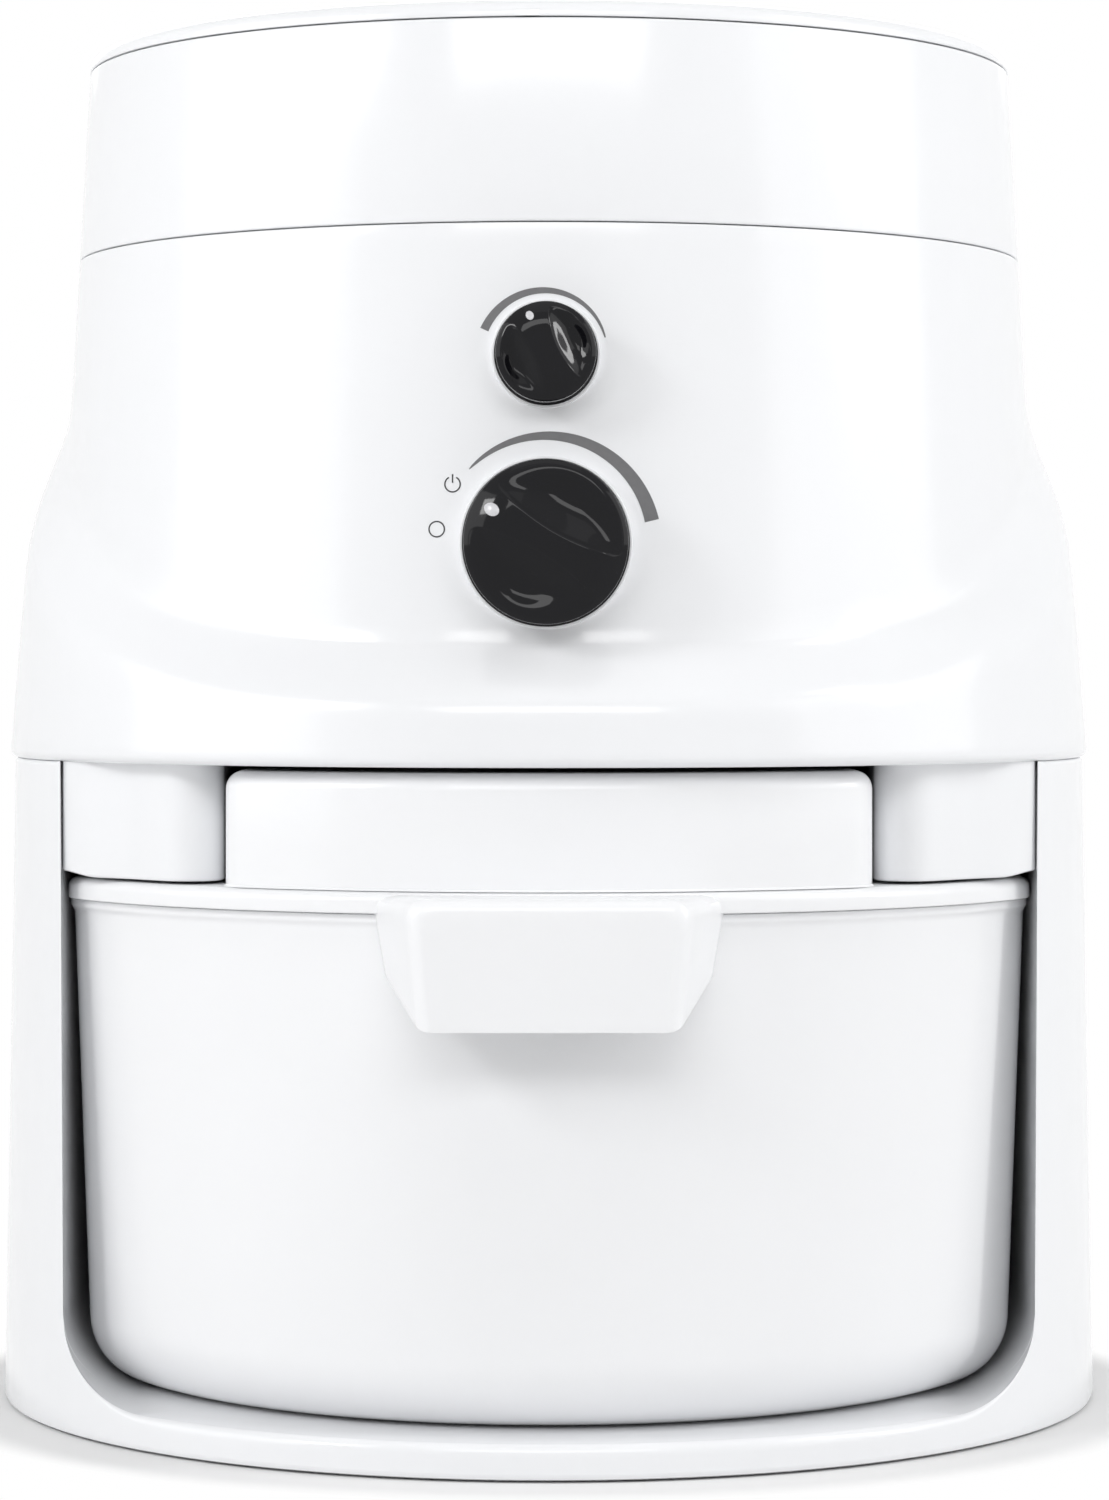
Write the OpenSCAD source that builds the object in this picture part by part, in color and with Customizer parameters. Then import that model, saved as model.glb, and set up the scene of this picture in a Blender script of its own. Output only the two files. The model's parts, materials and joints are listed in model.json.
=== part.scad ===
// Electric grain mill: a high-speed impact mill over a slide-out flour bowl.
// Millimetres. +Z is up from the table, the dials face -Y, +X is to the right of the dials.
// Every module draws about the upright axis of the oval body; at_body() places that axis so
// that the origin is under the middle of the whole object.

/* [Base] */
// Width of the base on the table
base_w = 274; // [270:1:284]
// Depth of the base on the table
base_d = 286; // [282:1:296]
// How much each side narrows up to the top of the pillars
base_draft = 2.6; // [1.6:0.1:3.4]
// Wall of the base moulding
base_wall = 3; // [2.6:0.1:3.2]
// Height of the deck under the bowl
deck_z = 8.5; // [8:0.1:10]
// Height of the feet below the base
foot_h = 1; // [0.8:0.1:1.6]
// Radius of a rubber foot
foot_r = 9; // [7:0.5:11]
// Radius between deck and pillar
cradle_corner_r = 20; // [16:0.5:22]
// Width of each pillar at the table, beside the bowl
pillar_w = 21.5; // [20:0.1:24]
// Thickness of the bottom cover
cover_plate_t = 2; // [1.6:0.1:2.4]

/* [Flour bowl] */
// Front of the bowl, from the body axis
bowl_front = 135.6; // [130:0.2:137]
// Back of the bowl, from the body axis
bowl_back = 98; // [92:1:99]
// Height of the bowl
bowl_h = 117.8; // [108:0.2:126]
// Wall of the bowl
bowl_wall = 2.6; // [2.2:0.1:3]
// How much each side narrows down to the floor
bowl_draft = 4.4; // [2.5:0.1:5]
// Radius of the edge around the floor
bowl_edge_r = 16.5; // [12:0.5:18]
// Height of the bead around the rim
bead_h = 1.8; // [1.4:0.1:3]
// How far the bead stands out
bead_out = 0.6; // [0.4:0.1:0.8]
// Clearance of the drawer on its deck and beside its lid
slide_gap = 0.5; // [0.4:0.1:0.9]

/* [Bowl handle] */
// Width of the handle's front at its top
handle_w_top = 62; // [58:0.5:70]
// Width of the handle's front at its lower edge
handle_w_low = 57; // [50:0.5:58]
// How much each side widens from the front to the bowl
handle_flare = 6; // [4:0.5:9]
// How much the lower edge rises from the front to the bowl
handle_rise = 7; // [4:0.5:10]
// Radius of the handle's edges
handle_edge_r = 3; // [2:0.1:4]
// Height of the handle
handle_h = 29.4; // [25:0.2:34]
// How far the handle stands out in front of the bowl lid
handle_out = 16.6; // [14:0.2:22]
// Wall of the handle
handle_wall = 3; // [2.4:0.1:3.6]

/* [Bowl lid] */
// Thickness of the flange on the bowl
flange_t = 5.2; // [4.4:0.1:6]
// How far the flange reaches past the bowl at the sides
flange_side = 0.8; // [0.6:0.1:1.2]
// How far the flange reaches past the bowl at the front
flange_front = 2.8; // [1:0.1:4]
// Radius along the flange's upper edge
flange_round = 1.8; // [1:0.1:2]
// Width of the raised tower
tower_w = 147.2; // [140:0.2:150]
// Height of the tower over the flange
tower_h = 26.7; // [22:0.1:32]
// Wall of the tower
tower_wall = 2.6; // [2:0.1:3]
// Radius along the upper edges of the tower
tower_r = 3.6; // [3:0.1:5]
// Height left free over the tower
mill_gap = 1.3; // [1.2:0.1:2]
// Radius of the separator cup
cup_r = 32; // [26:1:36]
// Depth of the separator cup
cup_h = 44; // [34:1:52]
// Radius of the foam filter
filter_r = 26; // [20:1:28]
// Thickness of the foam filter
filter_t = 5.8; // [4:0.2:8]

/* [Mill housing] */
// Height of the main housing
housing_h = 123.8; // [123:0.2:132]
// Height of the hopper ring
ring_h = 46.7; // [42:0.1:54]
// Wall of the housing shells
shell_t = 2.6; // [2.2:0.1:2.9]
// How far each side of the hopper's top lies within the base's width
hopper_in = 21.2; // [19:0.1:23]
// Widening of the neck, each side, per 100 mm down
neck_taper = 5.65; // [4.5:0.05:6.5]
// Widening of the skirt, each side, per 100 mm down
skirt_taper = 8; // [5:0.1:9]
// How far the skirt stands out over the pillars
skirt_out = 1.3; // [0.8:0.1:1.8]
// Radius around the lower edge of the skirt
skirt_edge_r = 2.2; // [1.4:0.1:2.6]
// Height of the shoulder over the lower edge, at the front
shoulder_z = 21.3; // [19:0.1:26]
// How much higher the shoulder runs at the sides and the back
shoulder_rise = 57; // [40:1:66]
// Half the height of the sloping band at the front
band_front = 6.75; // [5:0.25:8]
// Half the height of the sloping band at the sides
band_side = 10.75; // [8:0.25:12]
// Thickness of the floor of the mill
plate_t = 3.5; // [3:0.1:4]
// Height of the side rails below the housing
rail_h = 25.7; // [20:0.1:26.5]
// Clearance between a side rail and the bowl lid's tower
rail_gap = 2.9; // [2:0.1:6]
// How far the rail fronts lie behind the skirt
rail_inset = 6; // [4:0.5:9]
// Radius of the upright inner edge of a rail
rail_r = 8; // [5:0.5:10]
// Number of vent slots at the back
vent_count = 13; // [7:2:15]
// Width of a vent slot
vent_w = 3; // [2:0.2:4]

/* [Hopper and lid] */
// Wall of the hopper funnel
funnel_t = 2.4; // [2:0.1:3]
// Height of the funnel rim above the lower edge of the hopper ring
funnel_rim = 14; // [12:0.5:18]
// Height of the lid rim band
lid_rim_h = 4; // [3.6:0.1:5]
// Radius of the lid's upper edge
lid_edge_r = 3.6; // [2.6:0.1:3.6]
// Rise of the lid from rim to middle
lid_crown = 8.3; // [4:0.1:10]
// Thickness of the lid
lid_t = 2.4; // [2:0.1:2.6]
// Depth of the lid's locating skirt
lid_skirt_h = 8; // [6:0.5:12]

/* [Dials] */
// Height of the feed dial above the lower edge of the housing
feed_up = 50.7; // [50:0.1:53]
// Radius of the feed dial
feed_r = 19; // [16:0.5:19.5]
// Depth of the feed dial
feed_deep = 14; // [11:0.5:18]
// Height of the speed dial above the lower edge of the housing
speed_up = 93.6; // [90:0.1:97]
// Radius of the speed dial
speed_r = 11.8; // [10:0.2:13]
// Depth of the speed dial
speed_deep = 11; // [9.5:0.5:14]
// Width of the grip bar on both dials, at its waist
bar_w = 5.5; // [4.5:0.1:6.5]
// Width of the grip bar at its ends, feed dial
feed_bar_end = 11; // [9:0.2:14]
// Width of the grip bar at its ends, speed dial
speed_bar_end = 9.4; // [8:0.2:11]
// Both dials' offset from the middle
dial_x = -0.7; // [-1:0.1:1]
// Pointer of the feed dial at rest, degrees left of upright
feed_rest = 59.5; // [20:0.5:82]
// Pointer of the speed dial at rest, degrees left of upright
speed_rest = 24.5; // [0:0.5:70]
// Radius of the dial shafts
dial_shaft_r = 3; // [2.5:0.1:3.2]

/* [Feed gate] */
// Teeth of the feed pinion
pinion_teeth = 14; // [13:1:16]
// Module of the pinion and the rack
gear_module = 1.25; // [1.1:0.05:1.3]
// Width of the pinion
pinion_w = 8; // [6:0.5:9]
// Opening of the feed duct across
duct_w = 22; // [18:0.5:22]
// Opening of the feed duct from front to back
duct_d = 30; // [24:0.5:31]
// Distance of the feed duct in front of the body axis
feed_y = 40; // [40:0.5:43]
// Thickness of the gate plate
gate_t = 3; // [2:0.1:4]
// Turn of the dial from its rest to fully open, degrees
open_turn = 138.5; // [120:0.5:140]

/* [Milling heads] */
// Distance of the motor axis behind the body axis
motor_y = 34; // [33:0.5:36]
// Inner radius of the milling chamber
chamber_r = 57.5; // [57:0.5:60]
// Inner height of the milling chamber
chamber_h = 19.5; // [18.5:0.5:22]
// Wall of the milling chamber
chamber_t = 2.5; // [2:0.1:3]
// Radius of the turning head
rotor_r = 49; // [48.5:0.1:49.2]
// Thickness of both heads' discs
head_t = 2.6; // [2:0.1:3]
// Length of the fins
fin_l = 11; // [8:0.5:11]
// Thickness of the fins
fin_t = 3; // [2:0.1:3.4]
// Radius of the grain inlet
inlet_r = 6; // [5:0.25:6]
// Radius of the flour outlet
outlet_r = 11; // [9:0.5:11.5]

/* [Motor] */
// Outer radius of the motor frame
motor_r = 47; // [46:0.5:47.5]
// Length of the motor frame
motor_l = 60; // [60:0.5:62]
// Wall of the motor frame
motor_wall = 2.4; // [2:0.1:2.4]
// Height of the motor frame over the chamber cover
leg_h = 20; // [19:0.5:21]
// Radius of the motor shaft
shaft_r = 4; // [3.5:0.1:4]
// Outer radius of the ball bearings
bearing_r = 11; // [10.5:0.1:11.5]
// Width of the ball bearings
bearing_w = 7; // [6:0.5:7]
// Radius of the armature
armature_r = 24; // [20:0.5:24]
// Length of the armature laminations
armature_l = 32; // [26:1:32]
// Radius of the commutator
commutator_r = 13; // [11:0.5:14]
// Blades of the cooling fan
fan_blades = 9; // [5:1:11]

/* [Brushes and electrics] */
// Width of the carbon brushes
brush_w = 6; // [5.5:0.1:6.5]
// Length of the carbon brushes
brush_l = 13; // [11:0.5:14]
// Width of the control board
board_w = 52; // [46:1:54]
// Depth of the control board
board_d = 62; // [56:1:64]
// Width of the heat sink
sink_w = 26; // [22:1:28]
// Height of the heat sink
sink_h = 22; // [16:1:24]
// Width of the line filter's block
block_w = 32; // [26:1:34]
// Height of the line filter's block
block_h = 22; // [16:1:24]
// Outer radius of the line filter's ring
choke_r = 13; // [11:0.5:14]
// Width and height of the feed switch
switch_w = 26; // [24:0.5:28]
// Depth of the feed switch
switch_d = 16; // [14:0.5:18]
// Radius of the speed potentiometer
pot_r = 12; // [10:0.5:13]
// Depth of the speed potentiometer
pot_d = 11; // [9:0.5:13]

/* [Fits and screws] */
// Radial clearance of a shaft that turns in its bush
shaft_gap = 0.05; // [0.02:0.01:0.1]
// Seam between shells that stand on one another
seam = 0.3; // [0.2:0.05:0.4]
// Radial clearance around fixed screws, shafts and plugs
fit_gap = 0.05; // [0.03:0.01:0.1]
// Radius of the housing and motor screws
screw_r = 1.75; // [1.5:0.05:1.9]
// Radius of the cord hole in the gland
cord_r = 4.2; // [3.5:0.1:5]

/* [Hidden] */
$fn = 64;
eps = 0.01;

// Heights, from the table up
rim_z = deck_z + 0.4 * slide_gap + bowl_h;
flange_z = rim_z + flange_t;
tower_z = flange_z + tower_h;
mill_z = tower_z + mill_gap;
plate_z = mill_z + plate_t;
neck_z = mill_z + housing_h;
ring_z = neck_z + seam;
brim_z = ring_z + ring_h;
lid_z = brim_z + seam;
bowl_z = rim_z - bowl_h;

// Body outline
oval = base_d / base_w;
base_a0 = base_w / 2;
base_a1 = base_a0 - base_draft;
hopper_a = base_a0 - hopper_in;
bowl_w = base_w - 2 * pillar_w;
rail_x = tower_w / 2 + rail_gap;
open_x = bowl_w / 2 + flange_side + slide_gap;
back_y = bowl_back + flange_side + 5 * slide_gap;
handle_y = bowl_front + flange_front + handle_out;
handle_drop = 0.7;
body_y = (handle_y - base_d / 2) / 2;
shoulder_wrap = 100;
crisp_front = 12;
crisp_side = 4;
sides = 64;

function base_a(z) = base_a0 - base_draft * (z - foot_h) / (mill_z - foot_h);
function neck_a(z) = hopper_a + neck_taper / 100 * (brim_z - z);
function skirt_a(z) = base_a1 + skirt_out - skirt_taper / 100 * (z - mill_z);
function soft(x) = ln(1 + exp(x));
function ramp(u, k) = (soft(k * u) - soft(k * (u - 1))) / k;
function ease(t) = pow(t, 4) * (5 - 4 * t);
function wrap(angle) = ease(min(abs(angle) / shoulder_wrap, 1));
function band_mid(angle) = mill_z + shoulder_z + shoulder_rise * wrap(angle);
function band_half(angle) = band_front + (band_side - band_front) * wrap(angle);
function crisp(angle) = crisp_front - (crisp_front - crisp_side) * wrap(angle);

// Half width of the housing at a height, seen at an angle from the front
function house_a(angle, z) =
    let (u = (band_mid(angle) + band_half(angle) - z) / (2 * band_half(angle)))
    neck_a(z) + (skirt_a(z) - neck_a(z)) * ramp(u, crisp(angle));

// Height of a row of the housing: 0 to 1 is the skirt, 1 to 2 the band, 2 to 3 the neck
function row_z(angle, s, low, high) =
    let (z2 = band_mid(angle) - band_half(angle), z1 = band_mid(angle) + band_half(angle))
    s < 1 ? low + s * (z2 - low) : s < 2 ? z2 + (s - 1) * (z1 - z2) : z1 + (s - 2) * (high - z1);

function oval_ring(a, z) =
    [for (i = [0:sides - 1]) let (t = i * 360 / sides) [a * sin(t), -a * oval * cos(t), z]];
function house_ring(s, low, high, wall) =
    [for (i = [0:sides - 1])
        let (t = i * 360 / sides, back = t > 180 ? t - 360 : t, z = row_z(back, s, low, high),
             a = house_a(back, z) - wall)
        [a * sin(t), -a * oval * cos(t), z]];

// Point of the bowl's plan: an oval front between straight sides, squarer at the back
front_ratio = 1.07;
corner_sharp = 120;
side_bow = 0.01;
function front_reach(t, a, front) =
    let (round_r = front / sqrt(pow(front_ratio * cos(t), 2) + pow(sin(t), 2)),
         side_r = a * (1 - side_bow * pow(sin(t), 2)) / max(abs(cos(t)), eps))
    round_r * pow(1 + pow(round_r / side_r, corner_sharp), -1 / corner_sharp);
function plan_point(t, a, front, back) =
    sin(t) < 0 ? front_reach(t, a, front) * [cos(t), sin(t)]
               : [a * sign(cos(t)) * sqrt(abs(cos(t))), back * sqrt(sin(t))];
function plan(inset) =
    [for (i = [0:sides - 1])
        plan_point(i * 360 / sides + 180 / sides, bowl_w / 2 - inset, bowl_front - inset,
                   bowl_back - inset)];
function flange_plan(grow) =
    [for (i = [0:sides - 1])
        plan_point(i * 360 / sides + 180 / sides, bowl_w / 2 + flange_side + grow,
                   bowl_front + flange_front + grow, bowl_back + flange_side + grow)];
function plan_ring(inset, z) = [for (p = plan(inset)) [p[0], p[1], z]];
function flange_ring(grow, z) = [for (p = flange_plan(grow)) [p[0], p[1], z]];

// Feed gate
pitch_r = gear_module * pinion_teeth / 2;
pressure = 25;
backlash = 0.12;
gear_root = 1.25 * gear_module;
tooth_pitch = PI * gear_module;
feed_z = mill_z + feed_up;
gate_z = feed_z + pitch_r + gear_root;
open_shift = pitch_r * open_turn * PI / 180;
guide_t = 3;
guide_gap = 0.15;
duct_t = 2;
frame_z0 = gate_z - guide_t;
frame_z1 = gate_z + gate_t + guide_t;
gate_half = duct_d / 2 + 1.5;
frame_half = gate_half + guide_gap + 1.85;
frame_x = duct_w / 2 + 11;
pinion_y = -feed_y - frame_half - 3.5 - pinion_w;

// Dials
dial_seat_t = 6;
dial_gap = 0.4;
function seat_y(up, r) = -oval * neck_a(mill_z + up - r - 1) - 0.3;
feed_seat = seat_y(feed_up, feed_r);
speed_seat = seat_y(speed_up, speed_r);
speed_z = mill_z + speed_up;
bush_r = dial_shaft_r + 1.9;
bush_out = 2.5;
nut_t = 2;
scoop_rim = 1.6;
dial_chamfer = 0.8;
nut_r = 7;

// Milling chamber and motor
chamber_top = plate_z + chamber_t + chamber_h;
cover_t = 3;
cover_top = chamber_top + cover_t;
ear_at = chamber_r + chamber_t + 3;
ear_r = 5;
rotor_z = plate_z + chamber_t + 2;
fin_rings_fixed = [[6, 14], [18, 20]];
fin_rings_turning = [[0, 10], [12, 16]];
first_fin = 34;
inlet_y = 26;
outlet_y = motor_y - chamber_r + outlet_r + 2.5;
can_z = cover_top + leg_h;
cap_z = can_z + motor_l;
cap_t = 3;
bearing_low = cover_top + 0.5;
bearing_high = cap_z + cap_t;
boss_r = bearing_r + 3;
bolt_at = motor_r + 2.5;
bolt_post_r = 3.8;
bolt_r = 2;
armature_z = can_z + 13;
commutator_z = armature_z + armature_l + 6.5;
commutator_l = motor_l - 13 - armature_l - 7.5;
dome_r = bolt_at + bolt_post_r + 1.2;
dome_z = bearing_high + bearing_w + 1.6 + 5;
brush_z = commutator_z + commutator_l / 2;

// Screws and cord
screw_head_r = 3;
frame_boss_r = 5.4;
frame_ring = base_a1 - base_wall - screw_head_r - 0.5;
frame_screw_y = 35;
frame_screw_x = sqrt(pow(frame_ring, 2) - pow(frame_screw_y / oval, 2));
rear_screw_x = 60;
rear_screw_y = oval * sqrt(pow(frame_ring, 2) - pow(rear_screw_x, 2));
frame_screw_at = [[frame_screw_x, -frame_screw_y], [frame_screw_x, frame_screw_y],
                  [-frame_screw_x, -frame_screw_y], [-frame_screw_x, frame_screw_y],
                  [rear_screw_x, rear_screw_y], [-rear_screw_x, rear_screw_y]];
frame_screw_l = 18;
base_screw_sink = 1;
base_screw_head = 1.9 * screw_r;
base_screw_x = base_a0 - 57;
base_screw_at = [for (x = [base_screw_x, -base_screw_x]) for (y = [58 - base_d / 2, base_d / 2 - 71])
                 [x, y]];
foot_x = base_a0 - 45;
foot_at = [for (x = [foot_x, -foot_x]) for (y = [65 - base_d / 2, base_d / 2 - 59]) [x, y]];
corner_web_r = 20;
corner_web_at = [for (t = [35, 145]) plan_point(t, open_x, 0, back_y)];
rail_peg_r = 3;
rail_peg_at = [for (y = [-62, 20]) [rail_x + rail_r + 6, y]];
gland_up = 16.5;

// Electrics
board_x0 = 22;
board_y0 = -44 - board_d;
board_t = 1.6;
board_up = 6;
board_z = plate_z + board_up;
board_post_r = 3.5;
board_pin_r = 1.25;
board_post_at = [[board_x0 + 4, board_y0 + 4], [board_x0 + board_w - 4, board_y0 + 10],
                 [board_x0 + 4, -48], [board_x0 + board_w - 4, -48]];
relay = [14, 10, 9];
can_r = 5;
can_h = 12;
sink_t = 3;
sink_fin_t = 2;
sink_fin_l = 12;
sink_fins = 6;
rotor_screw_r = 2.5;
rotor_screw_l = 13;
block_d = 14;
block_at = [-38, -96];
choke_at = [-52, -62];
choke_h = 12;
choke_bore = 6;

module at_body() translate([0, body_y, 0]) children();
module at_motor() translate([0, body_y + motor_y, 0]) children();

module oval_cone(a0, a1, h) scale([1, oval, 1]) cylinder(h = h, r1 = a0, r2 = a1, $fn = 96);

// Closed solid through a stack of rings that run anticlockwise seen from above
module loft(rings) {
    n = len(rings[0]);
    m = len(rings);
    polyhedron(
        points = [for (r = rings) each r],
        faces = concat(
            [[for (i = [0:n - 1]) i]],
            [[for (i = [0:n - 1]) (m - 1) * n + n - 1 - i]],
            [for (j = [0:m - 2]) for (i = [0:n - 1]) let (k = (i + 1) % n)
                each [[j * n + i, (j + 1) * n + i, (j + 1) * n + k],
                      [j * n + i, (j + 1) * n + k, j * n + k]]]));
}

// Pan-head screw, head up, standing on z = 0 with its shank below
module pan_screw(r, l, head_r, head_h) {
    translate([0, 0, -l]) cylinder(r = r, h = l + eps);
    difference() {
        cylinder(r = head_r, h = head_h);
        for (a = [0, 90])
            rotate(a) translate([-head_r * 0.6, -0.4, head_h / 2]) cube([head_r * 1.2, 0.8, head_h]);
    }
}

// Plan of the room that the bowl slides in: open in front, round to the bowl's back
function tunnel_plan(grow) =
    concat([[open_x + grow, -base_d]],
           [for (i = [0:24]) plan_point(i * 7.5, open_x + grow, 0, back_y + grow)],
           [[-open_x - grow, -base_d]]);

module tunnel(grow) {
    w = open_x + grow;
    z = deck_z - grow;
    r = cradle_corner_r + grow;
    l = 2 * base_d;
    intersection() {
        translate([0, 0, z]) linear_extrude(2 * mill_z) polygon(tunnel_plan(grow));
        union() {
            translate([-w, -base_d, z + r]) cube([2 * w, l, mill_z]);
            translate([r - w, -base_d, z]) cube([2 * (w - r), l, r + eps]);
            for (s = [-1, 1])
                translate([s * (w - r), -base_d, z + r]) rotate([-90, 0, 0]) cylinder(r = r, h = l);
        }
    }
}

module base_cradle() color("whitesmoke") at_body() {
    difference() {
        translate([0, 0, foot_h]) oval_cone(base_a0, base_a1, mill_z - foot_h);
        tunnel(0);
        difference() {
            translate([0, 0, foot_h - 1])
                oval_cone(base_a(foot_h - 1) - base_wall, base_a1 - base_wall,
                          mill_z - base_wall - foot_h + 1);
            tunnel(base_wall);
            for (p = base_screw_at)
                translate([p[0], p[1], foot_h + cover_plate_t]) cylinder(r = 5, h = deck_z);
            for (p = corner_web_at)
                translate([p[0], p[1], foot_h + cover_plate_t]) cylinder(r = corner_web_r, h = mill_z);
        }
        for (p = base_screw_at)
            translate([p[0], p[1], 0]) cylinder(r = screw_r + fit_gap, h = deck_z - 1);
        for (p = frame_screw_at)
            translate([p[0], p[1], mill_z - 2 * base_wall])
                cylinder(r = screw_r + 2 * fit_gap, h = 3 * base_wall);
    }
}

module base_plate() color("dimgray") at_body() {
    difference() {
        translate([0, 0, foot_h])
            oval_cone(base_a0 - base_wall - seam, base_a0 - base_wall - seam, cover_plate_t);
        for (p = base_screw_at) translate([p[0], p[1], 0]) {
            cylinder(r = screw_r + 2 * fit_gap, h = deck_z);
            cylinder(r = base_screw_head + 0.3, h = foot_h + base_screw_sink);
        }
        for (p = foot_at)
            translate([p[0], p[1], 0]) cylinder(r = foot_r / 2 + fit_gap, h = deck_z);
    }
}

module rubber_feet() color("black") at_body()
    for (p = foot_at) translate([p[0], p[1], 0]) {
        cylinder(r = foot_r, h = foot_h);
        cylinder(r = foot_r / 2, h = foot_h + cover_plate_t);
    }

module base_screws() color("silver") at_body()
    for (p = base_screw_at)
        translate([p[0], p[1], foot_h + base_screw_sink]) mirror([0, 0, 1])
            pan_screw(screw_r, deck_z - foot_h - base_screw_sink - 1.2, base_screw_head, 1.4);

module frame_screws() color("silver") at_body()
    for (p = frame_screw_at)
        translate([p[0], p[1], mill_z - base_wall]) mirror([0, 0, 1])
            pan_screw(screw_r, base_wall + plate_t + frame_screw_l - 1, screw_head_r, 2.4);

// One side rail: an oval front, a rounded inner edge and the tunnel's plan outside
module rail(inset, low, high) {
    a = skirt_a(mill_z) - rail_inset - inset;
    r = max(rail_r - inset, 1);
    x0 = rail_x + inset;
    h = high - low;
    cy = -(a * oval - r) * sqrt(1 - pow((x0 + r) / (a - r), 2));
    intersection() {
        translate([0, 0, low]) linear_extrude(h) polygon(tunnel_plan(-seam - inset));
        union() {
            intersection() {
                translate([0, 0, low]) oval_cone(a, a, h);
                translate([x0 + r, -base_d, low]) cube([base_w, 2 * base_d, h]);
            }
            translate([x0, cy, low]) cube([r + eps, base_d / 2, h]);
            translate([x0 + r, cy, low]) cylinder(r = r, h = h);
        }
    }
}

module chassis() color("white") at_body() {
    outline = min(house_a(0, plate_z), skirt_a(plate_z)) - shell_t - seam;
    difference() {
        union() {
            translate([0, 0, mill_z]) oval_cone(outline, outline, plate_t);
            for (p = board_post_at)
                translate([p[0], p[1], mill_z]) cylinder(r = board_post_r, h = plate_t + board_up);
        }
        for (m = [0, 1]) mirror([m, 0, 0])
            for (p = rail_peg_at)
                translate([p[0], p[1], mill_z - 1])
                    cylinder(r = rail_peg_r + fit_gap, h = plate_t + 2);
        for (p = frame_screw_at)
            translate([p[0], p[1], mill_z - 1])
                cylinder(r = screw_r + 2 * fit_gap, h = plate_t + 2);
        for (p = board_post_at)
            translate([p[0], p[1], mill_z + 1])
                cylinder(r = board_pin_r + fit_gap, h = plate_t + board_up);
        translate([0, outlet_y, mill_z - 1]) cylinder(r = outlet_r + 4, h = plate_t + 2);
        for (a = [45:90:315])
            translate([0, motor_y, mill_z + 1]) rotate(a) translate([ear_at, 0, 0])
                cylinder(r = screw_r + fit_gap, h = plate_t);
    }
}

// Hollow runners beside the tower, pegged into the floor of the mill
module side_rails() color("white") at_body()
    for (m = [0, 1]) mirror([m, 0, 0]) {
        difference() {
            rail(0, mill_z - rail_h, mill_z);
            rail(shell_t, mill_z - rail_h + shell_t, mill_z + 1);
        }
        for (p = rail_peg_at)
            translate([p[0], p[1], mill_z - rail_h + shell_t / 2])
                cylinder(r = rail_peg_r, h = rail_h - shell_t / 2 + plate_t - 0.5);
    }

rows_out = [0.12, 0.5, 0.8, 0.94, 1, 1.25, 1.5, 1.75, 2, 2.1, 2.3, 2.6, 3];
rows_in = [0, 0.5, 0.85, 1, 1.5, 2, 2.3, 3];

module main_housing() color("white") at_body() {
    difference() {
        union() {
            difference() {
                loft(concat(
                    [oval_ring(skirt_a(mill_z) - skirt_edge_r * 0.8, mill_z),
                     oval_ring(skirt_a(mill_z) - skirt_edge_r * 0.25, mill_z + skirt_edge_r * 0.35)],
                    [for (s = rows_out) house_ring(s, mill_z + skirt_edge_r * 0.4, neck_z, 0)]));
                loft(concat(
                    [oval_ring(skirt_a(mill_z) - shell_t, mill_z - 1)],
                    [for (s = rows_in) house_ring(s, mill_z + skirt_edge_r, neck_z - 2, shell_t)],
                    [oval_ring(neck_a(neck_z) - shell_t, neck_z + 1)]));
            }
            dial_boss(feed_seat, mill_z + feed_up, feed_r);
            dial_boss(speed_seat, speed_z, speed_r);
            for (p = frame_screw_at)
                translate([p[0], p[1], plate_z]) cylinder(r = frame_boss_r, h = frame_screw_l);
        }
        for (p = frame_screw_at)
            translate([p[0], p[1], plate_z - 1]) cylinder(r = screw_r + fit_gap, h = frame_screw_l);
        for (d = [[feed_seat, feed_z], [speed_seat, speed_z]])
            translate([dial_x, d[0] - 1, d[1]]) rotate([-90, 0, 0])
                cylinder(r = bush_r + fit_gap, h = dial_seat_t + 6);
        for (i = [0:vent_count - 1])
            translate([(i - (vent_count - 1) / 2) * 2.6 * vent_w - vent_w / 2, base_d / 3, mill_z + 40])
                cube([vent_w, base_d / 3, 30]);
        translate([0, 0, mill_z + gland_up]) rotate([-90, 0, 0])
            cylinder(r = cord_r + 2.3 + fit_gap, h = base_d);
    }
}

// Flat seat behind a dial, standing just clear of the curved neck
module dial_boss(seat, z, r)
    translate([dial_x, seat, z]) rotate([-90, 0, 0]) cylinder(r = r + 0.6, h = dial_seat_t);

module hopper_ring() color("white") at_body() {
    ledge_z = ring_z + funnel_rim - 3;
    difference() {
        union() {
            difference() {
                translate([0, 0, ring_z]) oval_cone(neck_a(ring_z), hopper_a, ring_h);
                translate([0, 0, ring_z - eps])
                    oval_cone(neck_a(ring_z) - shell_t, hopper_a - shell_t, ring_h + 2 * eps);
            }
            translate([0, 0, ring_z - 6])
                oval_cone(neck_a(neck_z) - shell_t - seam, neck_a(neck_z) - shell_t - seam, 8);
            translate([0, 0, ring_z])
                oval_cone(neck_a(ring_z) - shell_t / 2, neck_a(ring_z) - shell_t / 2, 2);
            translate([0, 0, ledge_z - 3])
                oval_cone(neck_a(ledge_z) - shell_t + 1, neck_a(ledge_z) - shell_t + 1, 3);
        }
        translate([0, 0, ring_z - 7])
            oval_cone(neck_a(neck_z) - 2 * shell_t, neck_a(neck_z) - 2 * shell_t, funnel_rim - 1);
        translate([0, 0, ledge_z - 5])
            oval_cone(hopper_a - shell_t - 3.5, hopper_a - shell_t - 3.5, 8);
    }
}

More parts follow.
